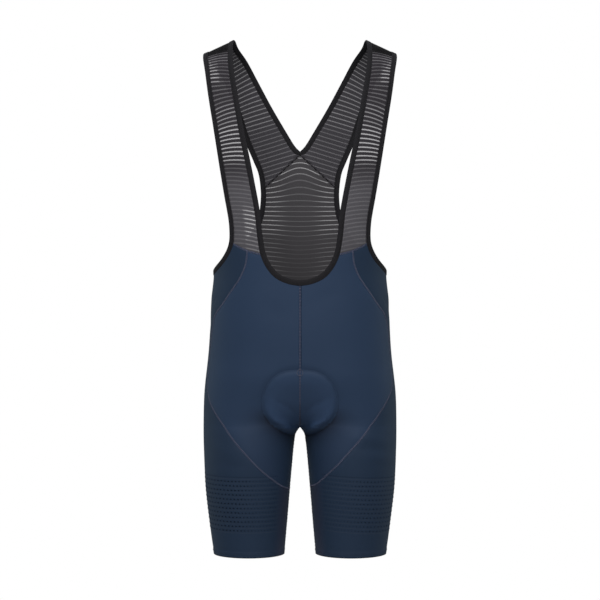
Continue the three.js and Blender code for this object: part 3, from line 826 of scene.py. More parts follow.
class Cloth:
    """Cloth over one or more nets of one side or both, as a closed thin wall."""

    def __init__(self, open_inseam: bool = False) -> None:
        """Starts an empty cloth; an open inseam keeps a leg's two edges apart."""
        self.open_inseam = open_inseam
        self.points: list[Array] = []
        self.normals: list[Array] = []
        self.turns: list[Array] = []
        self.cut: list[Array] = []
        self.faces: list[Array] = []
        self.count = 0

    def add(self, places: Places, sign: int, cut: Optional[Array] = None) -> "Cloth":
        """Adds a net on one side.

        Args:
            places: places by row and column.
            sign: +1 on the right, -1 on the left.
            cut: places on the flat cloth, in millimetres, where they don't follow the skin.
        Returns:
            This cloth.
        """
        rows, wide = places.shape[:2]
        flat = places.reshape(-1, 2)
        points = FIGURE.skin(flat) * (sign, 1, 1)
        normals = FIGURE.slopes(flat)[2] * (sign, 1, 1)
        normals[np.abs(points[:, 0]) < SEAM_GAP, 0] = 0
        normals = unit(normals)
        at = np.arange(rows * wide).reshape(rows, wide)
        a, b, c, d = (x.ravel() for x in (at[:-1, :-1], at[1:, :-1], at[1:, 1:], at[:-1, 1:]))
        faces = np.concatenate([np.stack([a, b, c], -1), np.stack([a, c, d], -1)])
        p, q, r = (points[faces[:, k]] for k in range(3))
        if np.sum(np.cross(q - p, r - p) * normals[faces[:, 0]]) < 0:
            faces = faces[:, ::-1]
        if cut is None:
            cut = flat * (sign * TURN_WAY, 1)
        self.points.append(points)
        self.normals.append(normals)
        self.turns.append(flat[:, 0] * sign)
        self.cut.append(cut.reshape(-1, 2) * MM)
        self.faces.append(faces + self.count)
        self.count += len(points)
        return self

    def weld(self) -> tuple[Array, Array, Array, Array, Array]:
        """Merges what coincides; gives points, normals, turns, cut and faces."""
        points, normals = np.concatenate(self.points), np.concatenate(self.normals)
        turns, cut = np.concatenate(self.turns), np.concatenate(self.cut)
        key = np.round(points * 20).astype(np.int64)
        if self.open_inseam:
            key = np.column_stack([key, np.abs(turns) > 1])
        _, first, same = np.unique(key, axis=0, return_index=True, return_inverse=True)
        faces = same.ravel()[np.concatenate(self.faces)]
        whole = ((faces[:, 0] != faces[:, 1]) & (faces[:, 1] != faces[:, 2])
                 & (faces[:, 0] != faces[:, 2]))
        return points[first], normals[first], turns[first], cut[first], faces[whole]

    def wall(self, name: str, thickness: Callable[[Array], Array],
             height: Callable[[Array, Array], Array]) -> tuple[bpy.types.Object, float]:
        """Builds the closed wall.

        Args:
            name: the piece's name.
            thickness: gives the wall's thickness from points.
            height: gives the outer face's height over the skin from points and turns.
        Returns:
            The object and the area of its outer face in square metres.
        """
        points, normals, turns, cut, faces = self.weld()
        edges = rim(faces, len(points))
        trim(points, normals, edges)
        outer = points + normals * height(points, turns)[:, None]
        inner = outer - normals * thickness(points)[:, None]
        under = len(points)
        a, b = edges.T
        sides = np.concatenate([np.stack([a, a + under, b], -1),
                                np.stack([b, a + under, b + under], -1)])
        p, q, r = (outer[faces[:, k]] for k in range(3))
        area = float(np.linalg.norm(np.cross(q - p, r - p), axis=1).sum() / 2) * MM**2
        every = np.concatenate([faces, faces[:, ::-1] + under, sides])
        return mesh_object(name, np.vstack([outer, inner]), every, np.vstack([cut, cut])), area


def plain_wall(thickness: float) -> Callable[[Array], Array]:
    """The same thickness everywhere."""
    return lambda points: np.full(len(points), thickness)


def rim(faces: Array, count: int) -> Array:
    """Edges that only one face has, each with that face on its left."""
    a = faces.ravel()
    b = faces[:, [1, 2, 0]].ravel()
    alone = ~np.isin(a * count + b, b * count + a)
    return np.stack([a[alone], b[alone]], -1)


def trim(points: Array, normals: Array, edges: Array) -> None:
    """Draws the rim in by half the seam gap, square to its edges."""
    a, b = edges.T
    total = np.zeros_like(points)
    for i in (a, b):
        np.add.at(total, i, unit(np.cross(normals[i], points[b] - points[a])))
    square = np.sum(total * total, -1, keepdims=True)
    points += total * (SEAM_GAP / 2) / np.maximum(square / 2, 0.5)


def oriented(points: Array, faces: Array) -> Array:
    """Triangles of a closed mesh, turned to face outward."""
    p, q, r = (points[faces[:, k]] for k in range(3))
    return faces if np.sum(p * np.cross(q, r)) > 0 else faces[:, ::-1]


class Heap:
    """Closed meshes gathered into one piece."""

    def __init__(self) -> None:
        """Starts empty."""
        self.points: list[Array] = []
        self.faces: list[Array] = []
        self.cut: list[Array] = []
        self.count = 0

    def add(self, points: Array, faces: Array, cut: Optional[Array] = None) -> None:
        """Adds one closed mesh, with its places on the flat cloth in metres."""
        self.points.append(points)
        self.faces.append(oriented(points - points.mean(0), faces) + self.count)
        self.cut.append(np.zeros((len(points), 2)) if cut is None else cut)
        self.count += len(points)

    def object(self, name: str) -> bpy.types.Object:
        """The piece made of all of them."""
        return mesh_object(name, np.vstack(self.points), np.vstack(self.faces), np.vstack(self.cut))


def sweep(points: Array, across: Array, normals: Array, profile: Array,
          closed: bool) -> tuple[Array, Array, Array]:
    """A closed profile swept along a line.

    Args:
        points: the line.
        across: directions across it, with the length that 1 in the profile stands for.
        normals: directions outward, likewise.
        profile: points of the profile, across and outward, for every point of the line or for all.
        closed: True where the line is a ring.
    Returns:
        Points, triangles and each point's place along and round in metres.
    """
    profile = np.broadcast_to(profile, (len(points), *profile.shape[-2:]))
    rings = (points[:, None] + across[:, None] * profile[..., :1]
             + normals[:, None] * profile[..., 1:])
    rows, wide = rings.shape[:2]
    at = np.arange(rows * wide).reshape(rows, wide)
    after = np.roll(at, -1, axis=0) if closed else at[1:]
    here = at if closed else at[:-1]
    a, b = here.ravel(), after.ravel()
    c, d = np.roll(after, -1, axis=1).ravel(), np.roll(here, -1, axis=1).ravel()
    faces = [np.stack([a, b, c], -1), np.stack([a, c, d], -1)]
    if not closed:
        k = np.arange(1, wide - 1)
        first = np.stack([np.zeros_like(k), k, k + 1], -1)
        faces += [first, first[:, ::-1] + (rows - 1) * wide]
    cut = np.stack(np.broadcast_arrays(
        lengths(points)[:, None] * MM, np.arange(wide)[None] / wide * 0.02), -1)
    return rings.reshape(-1, 3), np.concatenate(faces), cut.reshape(-1, 2)


# Finishes


def node(tree: bpy.types.NodeTree, kind: str, inputs: Optional[dict] = None, **settings) -> bpy.types.Node:
    """Adds a node.

    Args:
        tree: where to add it.
        kind: the node's type.
        inputs: values or output sockets for its inputs, by name or number.
        settings: its other properties.
    Returns:
        The node.
    """
    made = tree.nodes.new(kind)
    for key, value in settings.items():
        setattr(made, key, value)
    for key, value in (inputs or {}).items():
        if isinstance(value, bpy.types.NodeSocket):
            tree.links.new(value, made.inputs[key])
        else:
            made.inputs[key].default_value = value
    return made


def math_node(tree: bpy.types.NodeTree, operation: str, *values: object) -> bpy.types.NodeSocket:
    """Adds a Math node and gives its output."""
    return node(tree, "ShaderNodeMath", dict(enumerate(values)), operation=operation).outputs[0]


def ramp(tree: bpy.types.NodeTree, value: object, low: float, high: float, start: float = 0.0,
         stop: float = 1.0) -> bpy.types.NodeSocket:
    """A smooth step from start to stop as value goes from low to high."""
    made = node(tree, "ShaderNodeMapRange",
                {"Value": value, "From Min": low, "From Max": high, "To Min": start, "To Max": stop},
                interpolation_type="SMOOTHSTEP")
    return made.outputs["Result"]


def group(name: str, inputs: dict[str, tuple[str, object]], outputs: Sequence[str]
          ) -> tuple[bpy.types.NodeTree, bpy.types.Node, bpy.types.Node]:
    """An empty shader node group.

    Args:
        name: its name.
        inputs: socket kind and first value for each input's name.
        outputs: names of its float outputs.
    Returns:
        The group, its input node and its output node.
    """
    tree = bpy.data.node_groups.new(name, "ShaderNodeTree")
    for label, (kind, value) in inputs.items():
        socket = tree.interface.new_socket(name=label, in_out="INPUT", socket_type=kind)
        if value is not None:
            socket.default_value = value
    for label in outputs:
        tree.interface.new_socket(name=label, in_out="OUTPUT", socket_type="NodeSocketFloat")
    return tree, tree.nodes.new("NodeGroupInput"), tree.nodes.new("NodeGroupOutput")


class Effects:
    """Shader node groups that the finishes share."""

    def __init__(self) -> None:
        """Builds each group once."""
        self.knit = self.knit_group()
        self.stripes = self.stripes_group()
        self.mottle = self.mottle_group()

    @staticmethod
    def knit_group() -> bpy.types.NodeTree:
        """Small loops of a knit, in rows and columns of the flat cloth."""
        tree, given, result = group(
            "knit_loops", {"Vector": ("NodeSocketVector", None), "Pitch": ("NodeSocketFloat", 1.0)},
            ["Height"])
        parts = node(tree, "ShaderNodeSeparateXYZ", {0: given.outputs["Vector"]})
        turn = math_node(tree, "DIVIDE", 2 * math.pi, given.outputs["Pitch"])
        x = math_node(tree, "SINE", math_node(tree, "MULTIPLY", parts.outputs["X"], turn))
        lean = math_node(tree, "ADD", parts.outputs["Y"], math_node(tree, "MULTIPLY", x, 0.12))
        y = math_node(tree, "SINE", math_node(tree, "MULTIPLY", lean, turn))
        both = math_node(tree, "MULTIPLY", x, y)
        tree.links.new(math_node(tree, "MULTIPLY_ADD", both, 0.5, 0.5), result.inputs["Height"])
        return tree

    @staticmethod
    def stripes_group() -> bpy.types.NodeTree:
        """Cross stripes of the flat cloth, 1 in the middle of each stripe."""
        tree, given, result = group(
            "cross_stripes",
            {"Vector": ("NodeSocketVector", None), "Pitch": ("NodeSocketFloat", 7.0),
             "Width": ("NodeSocketFloat", 2.0), "Bow": ("NodeSocketFloat", 0.0)},
            ["Mask"])
        parts = node(tree, "ShaderNodeSeparateXYZ", {0: given.outputs["Vector"]})
        square = math_node(tree, "MULTIPLY", parts.outputs["X"], parts.outputs["X"])
        bowed = math_node(tree, "MULTIPLY_ADD", square, given.outputs["Bow"], parts.outputs["Y"])
        beat = math_node(tree, "PINGPONG", bowed,
                         math_node(tree, "DIVIDE", given.outputs["Pitch"], 2.0))
        half = math_node(tree, "DIVIDE", given.outputs["Width"], 2.0)
        away = math_node(tree, "DIVIDE", beat, half)
        tree.links.new(ramp(tree, away, 0.55, 1.45, 1.0, 0.0), result.inputs["Mask"])
        return tree

    @staticmethod
    def mottle_group() -> bpy.types.NodeTree:
        """Slow unevenness about 1, by a noise on the piece's own coordinates."""
        tree, given, result = group(
            "mottle", {"Scale": ("NodeSocketFloat", 12.0), "Amount": ("NodeSocketFloat", 0.1)},
            ["Factor"])
        place = node(tree, "ShaderNodeTexCoord")
        noise = node(tree, "ShaderNodeTexNoise",
                     {"Vector": place.outputs["Object"], "Scale": given.outputs["Scale"],
                      "Detail": 3.0})
        centred = math_node(tree, "SUBTRACT", noise.outputs["Fac"], 0.5)
        factor = math_node(tree, "MULTIPLY_ADD", centred, given.outputs["Amount"], 1.0)
        tree.links.new(factor, result.inputs["Factor"])
        return tree


def linear(color: Sequence[float]) -> tuple[float, float, float, float]:
    """A colour from its 0 to 255 screen values."""
    c = np.array(color, float) / 255
    return (*np.where(c <= 0.04045, c / 12.92, ((c + 0.055) / 1.055) ** 2.4), 1.0)


@dataclass(frozen=True)
class Finish:
    """A cloth's colour and surface; a plain one as it is, others add to it."""

    name: str
    color: tuple[float, float, float]
    roughness: float = 0.7
    sheen: float = 0.3
    sheen_tint: tuple[float, float, float] = (200, 210, 225)
    specular: float = 0.35
    pitch: float = 1.1
    bump: float = 0.25
    unevenness: float = 0.25

    def build(self, effects: Effects) -> bpy.types.Material:
        """Makes the material."""
        material = bpy.data.materials.new(self.name)
        material.use_nodes = True
        tree = material.node_tree
        shader = tree.nodes["Principled BSDF"]
        shader.inputs["Roughness"].default_value = self.roughness
        shader.inputs["Sheen Weight"].default_value = self.sheen
        shader.inputs["Sheen Roughness"].default_value = 0.45
        shader.inputs["Sheen Tint"].default_value = linear(self.sheen_tint)
        shader.inputs["Specular IOR Level"].default_value = self.specular
        flat = node(tree, "ShaderNodeUVMap", uv_map="cut")
        cut = node(tree, "ShaderNodeVectorMath", {0: flat.outputs["UV"], "Scale": 1000.0},
                   operation="SCALE").outputs["Vector"]
        loops = node(tree, "ShaderNodeGroup", node_tree=effects.knit)
        tree.links.new(cut, loops.inputs["Vector"])
        loops.inputs["Pitch"].default_value = self.pitch
        bump = node(tree, "ShaderNodeBump",
                    {"Height": loops.outputs["Height"], "Strength": self.bump, "Distance": 0.0003})
        tree.links.new(bump.outputs["Normal"], shader.inputs["Normal"])
        mottle = node(tree, "ShaderNodeGroup", node_tree=effects.mottle)
        mottle.inputs["Amount"].default_value = self.unevenness
        mottle.inputs["Scale"].default_value = 14.0
        color = self.colored(tree, cut, effects)
        shaded = node(tree, "ShaderNodeVectorMath",
                      {0: color, "Scale": mottle.outputs["Factor"]}, operation="SCALE")
        tree.links.new(shaded.outputs["Vector"], shader.inputs["Base Color"])
        self.opened(tree, cut, effects, shader)
        return material

    def colored(self, tree: bpy.types.NodeTree, cut: bpy.types.NodeSocket,
                effects: Effects) -> bpy.types.NodeSocket:
        """The colour over the cloth."""
        made = node(tree, "ShaderNodeRGB")
        made.outputs[0].default_value = linear(self.color)
        return made.outputs[0]

    def opened(self, tree: bpy.types.NodeTree, cut: bpy.types.NodeSocket, effects: Effects,
               shader: bpy.types.Node) -> None:
        """Makes the cloth see-through where it is; a plain one is not."""


def blended(tree: bpy.types.NodeTree, share: object, a: object, b: object) -> bpy.types.NodeSocket:
    """A colour part of the way from a to b."""
    made = node(tree, "ShaderNodeMix", data_type="RGBA")
    for key, value in ((0, share), (6, a), (7, b)):
        if isinstance(value, bpy.types.NodeSocket):
            tree.links.new(value, made.inputs[key])
        else:
            made.inputs[key].default_value = value
    return made.outputs[2]


@dataclass(frozen=True)
class FrontFinish(Finish):
    """The front and seat pieces' knit, with painted light over the pad, a painted shadow under its edge and
    painted shade on the thighs.
    """

    over_pad: tuple[float, float, float] = (55, 78, 112)
    under_pad: tuple[float, float, float] = (20, 29, 46)

    def colored(self, tree: bpy.types.NodeTree, cut: bpy.types.NodeSocket,
                effects: Effects) -> bpy.types.NodeSocket:
        """Navy, with the painted light and shade of the tone kept on the cloth's points."""
        tone = node(tree, "ShaderNodeAttribute", attribute_name="tone").outputs["Fac"]
        dark = blended(tree, math_node(tree, "MULTIPLY", tone, -1.0), linear(self.color),
                       linear(self.under_pad))
        return blended(tree, tone, dark, linear(self.over_pad))


@dataclass(frozen=True)
class SideFinish(Finish):
    """The side pieces' knit, with the woven lines of the dot band and a paler inner strip."""

    line_color: tuple[float, float, float] = (58, 68, 84)
    strip_color: tuple[float, float, float] = (56, 60, 82)

    def colored(self, tree: bpy.types.NodeTree, cut: bpy.types.NodeSocket,
                effects: Effects) -> bpy.types.NodeSocket:
        """Navy, lighter along the band's lines and on the strip by the inseam."""
        parts = node(tree, "ShaderNodeSeparateXYZ", {0: cut})
        way = math_node(tree, "COSINE",
                        math_node(tree, "MULTIPLY", parts.outputs["X"], math.pi / TURN_WAY))
        slant = math_node(tree, "MULTIPLY", way, ramp(tree, parts.outputs["X"], -1.0, 1.0, 0.0,
                                                      BAND.right_slant))
        level = math_node(tree, "SUBTRACT", parts.outputs["Y"], BAND.top_drop)
        down = math_node(tree, "ADD", level, slant)
        moved = node(tree, "ShaderNodeCombineXYZ", {"X": parts.outputs["X"], "Y": down})
        lines = node(tree, "ShaderNodeGroup", node_tree=effects.stripes)
        tree.links.new(moved.outputs[0], lines.inputs["Vector"])
        lines.inputs["Pitch"].default_value = BAND.row_pitch
        lines.inputs["Width"].default_value = 1.3
        inside_band = math_node(
            tree, "MULTIPLY", ramp(tree, down, -1.5, 0.0),
            ramp(tree, down, BAND.height, BAND.height + 1.5, 1.0, 0.0))
        line = math_node(tree, "MULTIPLY", lines.outputs["Mask"], inside_band)
        turn = math_node(tree, "ABSOLUTE", parts.outputs["X"])
        strip = math_node(tree, "MULTIPLY", ramp(tree, turn, 30.0, 66.0, 1.0, 0.0),
                          ramp(tree, down, -2.0, 14.0))
        tone = blended(tree, math_node(tree, "MULTIPLY", line, 0.35), linear(self.color),
                       linear(self.line_color))
        return blended(tree, math_node(tree, "MULTIPLY", strip, 0.85), tone, linear(self.strip_color))


@dataclass(frozen=True)
class MeshFinish(Finish):
    """Open mesh with sheer cross stripes; its first and last stretches can differ."""

    stripe_color: tuple[float, float, float] = (104, 101, 108)
    stripe_pitch: float = 7.2
    stripe_width: float = 1.7
    bow: float = 0.0
    cover: float = 0.93
    stripe_cover: float = 0.42
    faint_from: float = 240.0
    faint_cover: float = 0.95
    faint_color: tuple[float, float, float] = (93, 91, 96)
    # Painted shade at the crest
    crest_color: tuple[float, float, float] = (20, 19, 21)
    crest_length: float = 0.0
    centre_share: float = 1.0
    centre_from: float = 0.0
    soft: float = 6.0
    # Stretches with stripes: start, end, side (-1 inner, 0 both, 1 outer) and strength
    zones: tuple[tuple[float, float, float, float], ...] = ()

    def masks(self, tree: bpy.types.NodeTree, cut: bpy.types.NodeSocket,
              effects: Effects) -> tuple[bpy.types.NodeSocket, bpy.types.NodeSocket]:
        """The stripes' mask and the share of the faint stretch."""
        parts = node(tree, "ShaderNodeSeparateXYZ", {0: cut})
        along = parts.outputs["Y"]
        aside = math_node(
            tree, "MAXIMUM",
            ramp(tree, math_node(tree, "ABSOLUTE", parts.outputs["X"]), 16.0, 52.0,
                 self.centre_share),
            ramp(tree, along, self.centre_from, self.centre_from + 25, 1.0, 0.0))
        stripes = node(tree, "ShaderNodeGroup", node_tree=effects.stripes)
        tree.links.new(cut, stripes.inputs["Vector"])
        for name, value in (("Pitch", self.stripe_pitch), ("Width", self.stripe_width),
                            ("Bow", self.bow)):
            stripes.inputs[name].default_value = value
        faint = ramp(tree, along, self.faint_from, self.faint_from + 60)
        total = None
        for start, stop, hand, gain in self.zones:
            near, far = (ramp(tree, along, edge - self.soft, edge + self.soft, *share)
                         for edge, share in ((start, (0.0, gain)), (stop, (1.0, 0.0))))
            window = math_node(tree, "MULTIPLY", near, far)
            if hand:
                outward = math_node(tree, "MULTIPLY", parts.outputs["X"], hand)
                window = math_node(tree, "MULTIPLY", window, ramp(tree, outward, -4.0, 6.0))
            total = window if total is None else math_node(tree, "MAXIMUM", total, window)
        shown = math_node(tree, "MULTIPLY", stripes.outputs["Mask"], total)
        return math_node(tree, "MULTIPLY", shown, aside), faint

    def colored(self, tree: bpy.types.NodeTree, cut: bpy.types.NodeSocket,
                effects: Effects) -> bpy.types.NodeSocket:
        """Charcoal, painted darker at the crest as shade, lighter on the stripes and on the faint stretch.
        """
        stripe, faint = self.masks(tree, cut, effects)
        along = node(tree, "ShaderNodeSeparateXYZ", {0: cut}).outputs["Y"]
        # The crest's near-black colour is painted shade, which cancels the light the upward-facing strap
        # tops catch.
        crest = ramp(tree, along, self.crest_length - 9, self.crest_length + 9)
        ground = blended(tree, faint, linear(self.color), linear(self.faint_color))
        ground = blended(tree, crest, linear(self.crest_color), ground)
        return blended(tree, stripe, ground, linear(self.stripe_color))

    def opened(self, tree: bpy.types.NodeTree, cut: bpy.types.NodeSocket, effects: Effects,
               shader: bpy.types.Node) -> None:
        """Lets the light through, most on the stripes."""
        stripe, faint = self.masks(tree, cut, effects)
        ground = math_node(tree, "MULTIPLY_ADD", faint, self.faint_cover - self.cover, self.cover)
        open_by = math_node(tree, "MULTIPLY", stripe, self.cover - self.stripe_cover)
        tree.links.new(math_node(tree, "SUBTRACT", ground, open_by), shader.inputs["Alpha"])


# Stretches of the front straps with stripes, as in MeshFinish.zones. The stripes are the knit's own; their
# strengths are painted light, strongest where light shows through a single layer and weak where the back
# strap lies behind.
STRAP_ZONES = ((60, 86, 0.0, 0.6), (60, 126, 1.0, 1.0), (80, 166, 0.0, 0.3),
               (160, 202, 0.0, 0.6), (196, 266, 0.0, 1.0), (266, 500, 0.0, 0.2))


class Cloths(Enum):
    """Every finish of the garment."""

    FRONT = FrontFinish("front_knit", (43, 63, 91), roughness=0.6, sheen=0.08, pitch=0.9, bump=0.15,
                        sheen_tint=(150, 185, 205), specular=0.3, unevenness=0.1)
    SIDE = SideFinish("side_knit", (33, 52, 76), roughness=0.62, sheen=0.08, pitch=0.9, bump=0.15,
                      sheen_tint=(130, 170, 190), specular=0.3, unevenness=0.1)
    STRAP_RIGHT = MeshFinish("strap_mesh_right", (56, 53, 58), roughness=0.85, sheen=0.01,
                             specular=0.1, pitch=1.4, bump=0.15, unevenness=0.2, bow=-0.004,
                             stripe_width=2.1, stripe_cover=0.52, stripe_color=(165, 163, 167),
                             crest_length=59.0, faint_from=262.0, soft=11.0,
                             zones=STRAP_ZONES)
    STRAP_LEFT = MeshFinish("strap_mesh_left", (56, 53, 58), roughness=0.85, sheen=0.01,
                            specular=0.1, pitch=1.4, bump=0.15, unevenness=0.2, bow=-0.004,
                            stripe_width=2.1, stripe_cover=0.52, stripe_color=(165, 163, 167),
                            crest_length=59.0,
                            faint_from=262.0, soft=11.0,
                            zones=(*STRAP_ZONES, (340, 500, -1.0, 1.0)))
    BACK_STRAP = MeshFinish("back_strap_mesh", (72, 70, 75), roughness=0.85, sheen=0.04,
                            specular=0.1, pitch=1.4, bump=0.15, unevenness=0.2, stripe_pitch=8.0,
                            stripe_cover=0.66, stripe_color=(116, 113, 119), faint_from=1e4,
                            soft=26.0, zones=((40, 212, 0.0, 1.0), (200, 440, 0.0, 0.6)))
    BACK = MeshFinish("back_mesh", (80, 78, 81), roughness=0.85, sheen=0.04, specular=0.1,
                      pitch=1.4, bump=0.15, unevenness=0.2, stripe_pitch=8.0, stripe_width=1.4,
                      cover=0.97, stripe_cover=0.56, stripe_color=(140, 138, 142),
                      centre_share=0.32, centre_from=222.0, faint_from=1e4, soft=14.0,
                      zones=((100, 325, 0.0, 1.0), (325, 900, 0.0, 0.45)))
    BINDING = Finish("edge_binding", (38, 37, 40), roughness=0.8, sheen=0.03, specular=0.15,
                     pitch=1.2, bump=0.2, unevenness=0.2)
    THREAD = Finish("seam_thread", (106, 108, 128), roughness=0.7, sheen=0.05, specular=0.2,
                    pitch=0.6, bump=0.1, unevenness=0.1)
    TAPE = Finish("seam_tape", (58, 67, 91), roughness=0.75, sheen=0.05, specular=0.2,
                  pitch=0.8, bump=0.15, unevenness=0.1)
    MESH_TAPE = Finish("mesh_tape", (60, 58, 62), roughness=0.8, sheen=0.03, specular=0.15,
                       pitch=0.8, bump=0.15, unevenness=0.1)
    DARK_THREAD = Finish("dark_thread", (20, 19, 21), roughness=0.75, sheen=0.02, specular=0.2,
                         pitch=0.6, bump=0.1, unevenness=0.1)
    # Dark dots and stitches; also the painted shadow beside the centre front seam.
    DOT = Finish("dot_dark_and_shadow", (21, 31, 47), roughness=0.85, sheen=0.02, specular=0.1,
                 pitch=0.8, bump=0.05, unevenness=0.1)
    PAD = Finish("pad_knit", (30, 42, 68), roughness=0.85, sheen=0.2, specular=0.2,
                 sheen_tint=(140, 160, 200), pitch=1.3, bump=0.3, unevenness=0.2)

    @property
    def material(self) -> bpy.types.Material:
        """The built material."""
        return bpy.data.materials[self.value.name]


# What repeats, by Geometry Nodes


class Repeat:
    """A Geometry Nodes tree that sets one small shape on each point of a mesh."""

    def __init__(self, name: str, sizes: dict[str, float], materials: int = 1) -> None:
        """Starts the tree.

        Args:
            name: the tree's name.
            sizes: its named float inputs, in metres.
            materials: how many material inputs it has.
        """
        self.tree = bpy.data.node_groups.new(name, "GeometryNodeTree")
        face = self.tree.interface
        face.new_socket(name="Geometry", in_out="INPUT", socket_type="NodeSocketGeometry")
        for label, value in sizes.items():
            face.new_socket(name=label, in_out="INPUT", socket_type="NodeSocketFloat").default_value = value
        for number in range(materials):
            face.new_socket(name=f"Material {number + 1}", in_out="INPUT",
                            socket_type="NodeSocketMaterial")
        face.new_socket(name="Geometry", in_out="OUTPUT", socket_type="NodeSocketGeometry")
        self.given = self.tree.nodes.new("NodeGroupInput")
        self.result = self.tree.nodes.new("NodeGroupOutput")

    def vector(self, name: str) -> bpy.types.NodeSocket:
        """A vector kept on each point."""
        made = node(self.tree, "GeometryNodeInputNamedAttribute", {"Name": name},
                    data_type="FLOAT_VECTOR")
        return made.outputs["Attribute"]

    def dressed(self, shape: bpy.types.NodeSocket, number: int) -> bpy.types.NodeSocket:
        """A shape with one of the materials."""
        material = self.given.outputs[f"Material {number}"]
        return node(self.tree, "GeometryNodeSetMaterial",
                    {"Geometry": shape, "Material": material}).outputs[0]

    def finish(self, shape: bpy.types.NodeSocket, scale: object) -> None:
        """Sets the shape on the points, its Z outward and its X along."""
        turn = node(self.tree, "FunctionNodeAxesToRotation",
                    {"Primary Axis": self.vector("up"), "Secondary Axis": self.vector("along")},
                    primary_axis="Z", secondary_axis="X")
        placed = node(self.tree, "GeometryNodeInstanceOnPoints",
                      {"Points": self.given.outputs["Geometry"], "Instance": shape,
                       "Rotation": turn.outputs[0], "Scale": scale})
        real = node(self.tree, "GeometryNodeRealizeInstances", {"Geometry": placed.outputs[0]})
        smooth_faces = node(self.tree, "GeometryNodeSetShadeSmooth", {"Geometry": real.outputs[0]})
        self.tree.links.new(smooth_faces.outputs[0], self.result.inputs["Geometry"])

    def run(self, name: str, points: Array, up: Array, along: Array, length: Array,
            sizes: dict[str, float], materials: Sequence[bpy.types.Material]) -> bpy.types.Object:
        """Makes one piece.

        Args:
            name: the piece's name.
            points: where the shapes stand, in millimetres.
            up: outward directions.
            along: directions along the row.
            length: each shape's own stretch along the row.
            sizes: values for the tree's named inputs, in metres.
            materials: values for its material inputs.
        Returns:
            The piece as a plain mesh.
        """
        mesh = bpy.data.meshes.new(name)
        mesh.vertices.add(len(points))
        mesh.vertices.foreach_set("co", (points * MM).astype(np.float32).ravel())
        for label, values in (("up", up), ("along", along)):
            layer = mesh.attributes.new(label, "FLOAT_VECTOR", "POINT")
            layer.data.foreach_set("vector", values.astype(np.float32).ravel())
        layer = mesh.attributes.new("length", "FLOAT", "POINT")
        layer.data.foreach_set("value", length.astype(np.float32))
        obj = bpy.data.objects.new(name, mesh)
        bpy.context.scene.collection.objects.link(obj)
        modifier = obj.modifiers.new("repeat", "NODES")
        modifier.node_group = self.tree
        values = {**sizes, **{f"Material {i + 1}": m for i, m in enumerate(materials)}}
        for item in self.tree.interface.items_tree:
            if item.in_out == "INPUT" and item.name in values:
                modifier[item.identifier] = values[item.name]
        applied(obj)
        return obj


class StitchRows(Repeat):
    """Stitches: a short rounded thread on each point, stretched by its own length."""

    def __init__(self) -> None:
        """Builds the tree with Length, Width and Height."""
        super().__init__("stitch_rows", {"Length": 0.002, "Width": 0.0006, "Height": 0.0005})
        thread = node(self.tree, "GeometryNodeMeshUVSphere",
                      {"Segments": 6, "Rings": 4, "Radius": 0.5})
        own = node(self.tree, "GeometryNodeInputNamedAttribute", {"Name": "length"},
                   data_type="FLOAT").outputs["Attribute"]
        long = math_node(self.tree, "MULTIPLY", self.given.outputs["Length"], own)
        size = node(self.tree, "ShaderNodeCombineXYZ",
                    {"X": long, "Y": self.given.outputs["Width"], "Z": self.given.outputs["Height"]})
        self.finish(self.dressed(thread.outputs["Mesh"], 1), size.outputs[0])


class DotRows(Repeat):
    """Woven dots: a dark sunken middle in a low ring, on each point."""

    def __init__(self) -> None:
        """Builds the tree with Radius and Thread."""
        super().__init__("dot_rows", {"Radius": 0.0015, "Thread": 0.0004}, 2)
        radius, thread = self.given.outputs["Radius"], self.given.outputs["Thread"]
        circle = node(self.tree, "GeometryNodeCurvePrimitiveCircle",
                      {"Resolution": 8, "Radius": radius}).outputs["Curve"]
        profile = node(self.tree, "GeometryNodeCurvePrimitiveCircle",
                       {"Resolution": 3, "Radius": thread}).outputs["Curve"]
        ring = node(self.tree, "GeometryNodeCurveToMesh",
                    {"Curve": circle, "Profile Curve": profile}).outputs["Mesh"]
        middle = node(self.tree, "GeometryNodeMeshCone",
                      {"Vertices": 8, "Radius Top": math_node(self.tree, "MULTIPLY", radius, 0.8),
                       "Radius Bottom": radius, "Depth": thread}).outputs["Mesh"]
        both = self.tree.nodes.new("GeometryNodeJoinGeometry")
        self.tree.links.new(self.dressed(ring, 1), both.inputs[0])
        self.tree.links.new(self.dressed(middle, 2), both.inputs[0])
        own = node(self.tree, "GeometryNodeInputNamedAttribute", {"Name": "length"},
                   data_type="FLOAT").outputs["Attribute"]
        size = node(self.tree, "ShaderNodeCombineXYZ",
                    {"X": math_node(self.tree, "MULTIPLY", own, 1.25),
                     "Y": math_node(self.tree, "MULTIPLY", own, 0.85), "Z": 1.0})
        self.finish(both.outputs[0], size.outputs[0])


# The garment


@dataclass(frozen=True)
class Band:
    """The woven dot band above each hem."""

    rows: int = 12
    row_pitch: float = 7.75
    column_pitch: float = 5.8
    wider: float = 0.7
    top_level: float = -749.0
    dot_radius: float = 1.7
    dash_above: float = 7.0
    right_slant: float = 4.2

    @property
    def top_drop(self) -> float:
        """Drop of the line above the first row."""
        return float(FIGURE.drop(np.array(self.top_level))) - self.row_pitch / 2

    @property
    def height(self) -> float:
        """Way from the first line to the last."""
        return self.rows * self.row_pitch


BAND = Band()


@dataclass(frozen=True)
class Cut:
    """The flat size a piece is cut to, in metres, and its area in square metres."""

    width: float
    length: float
    area: float


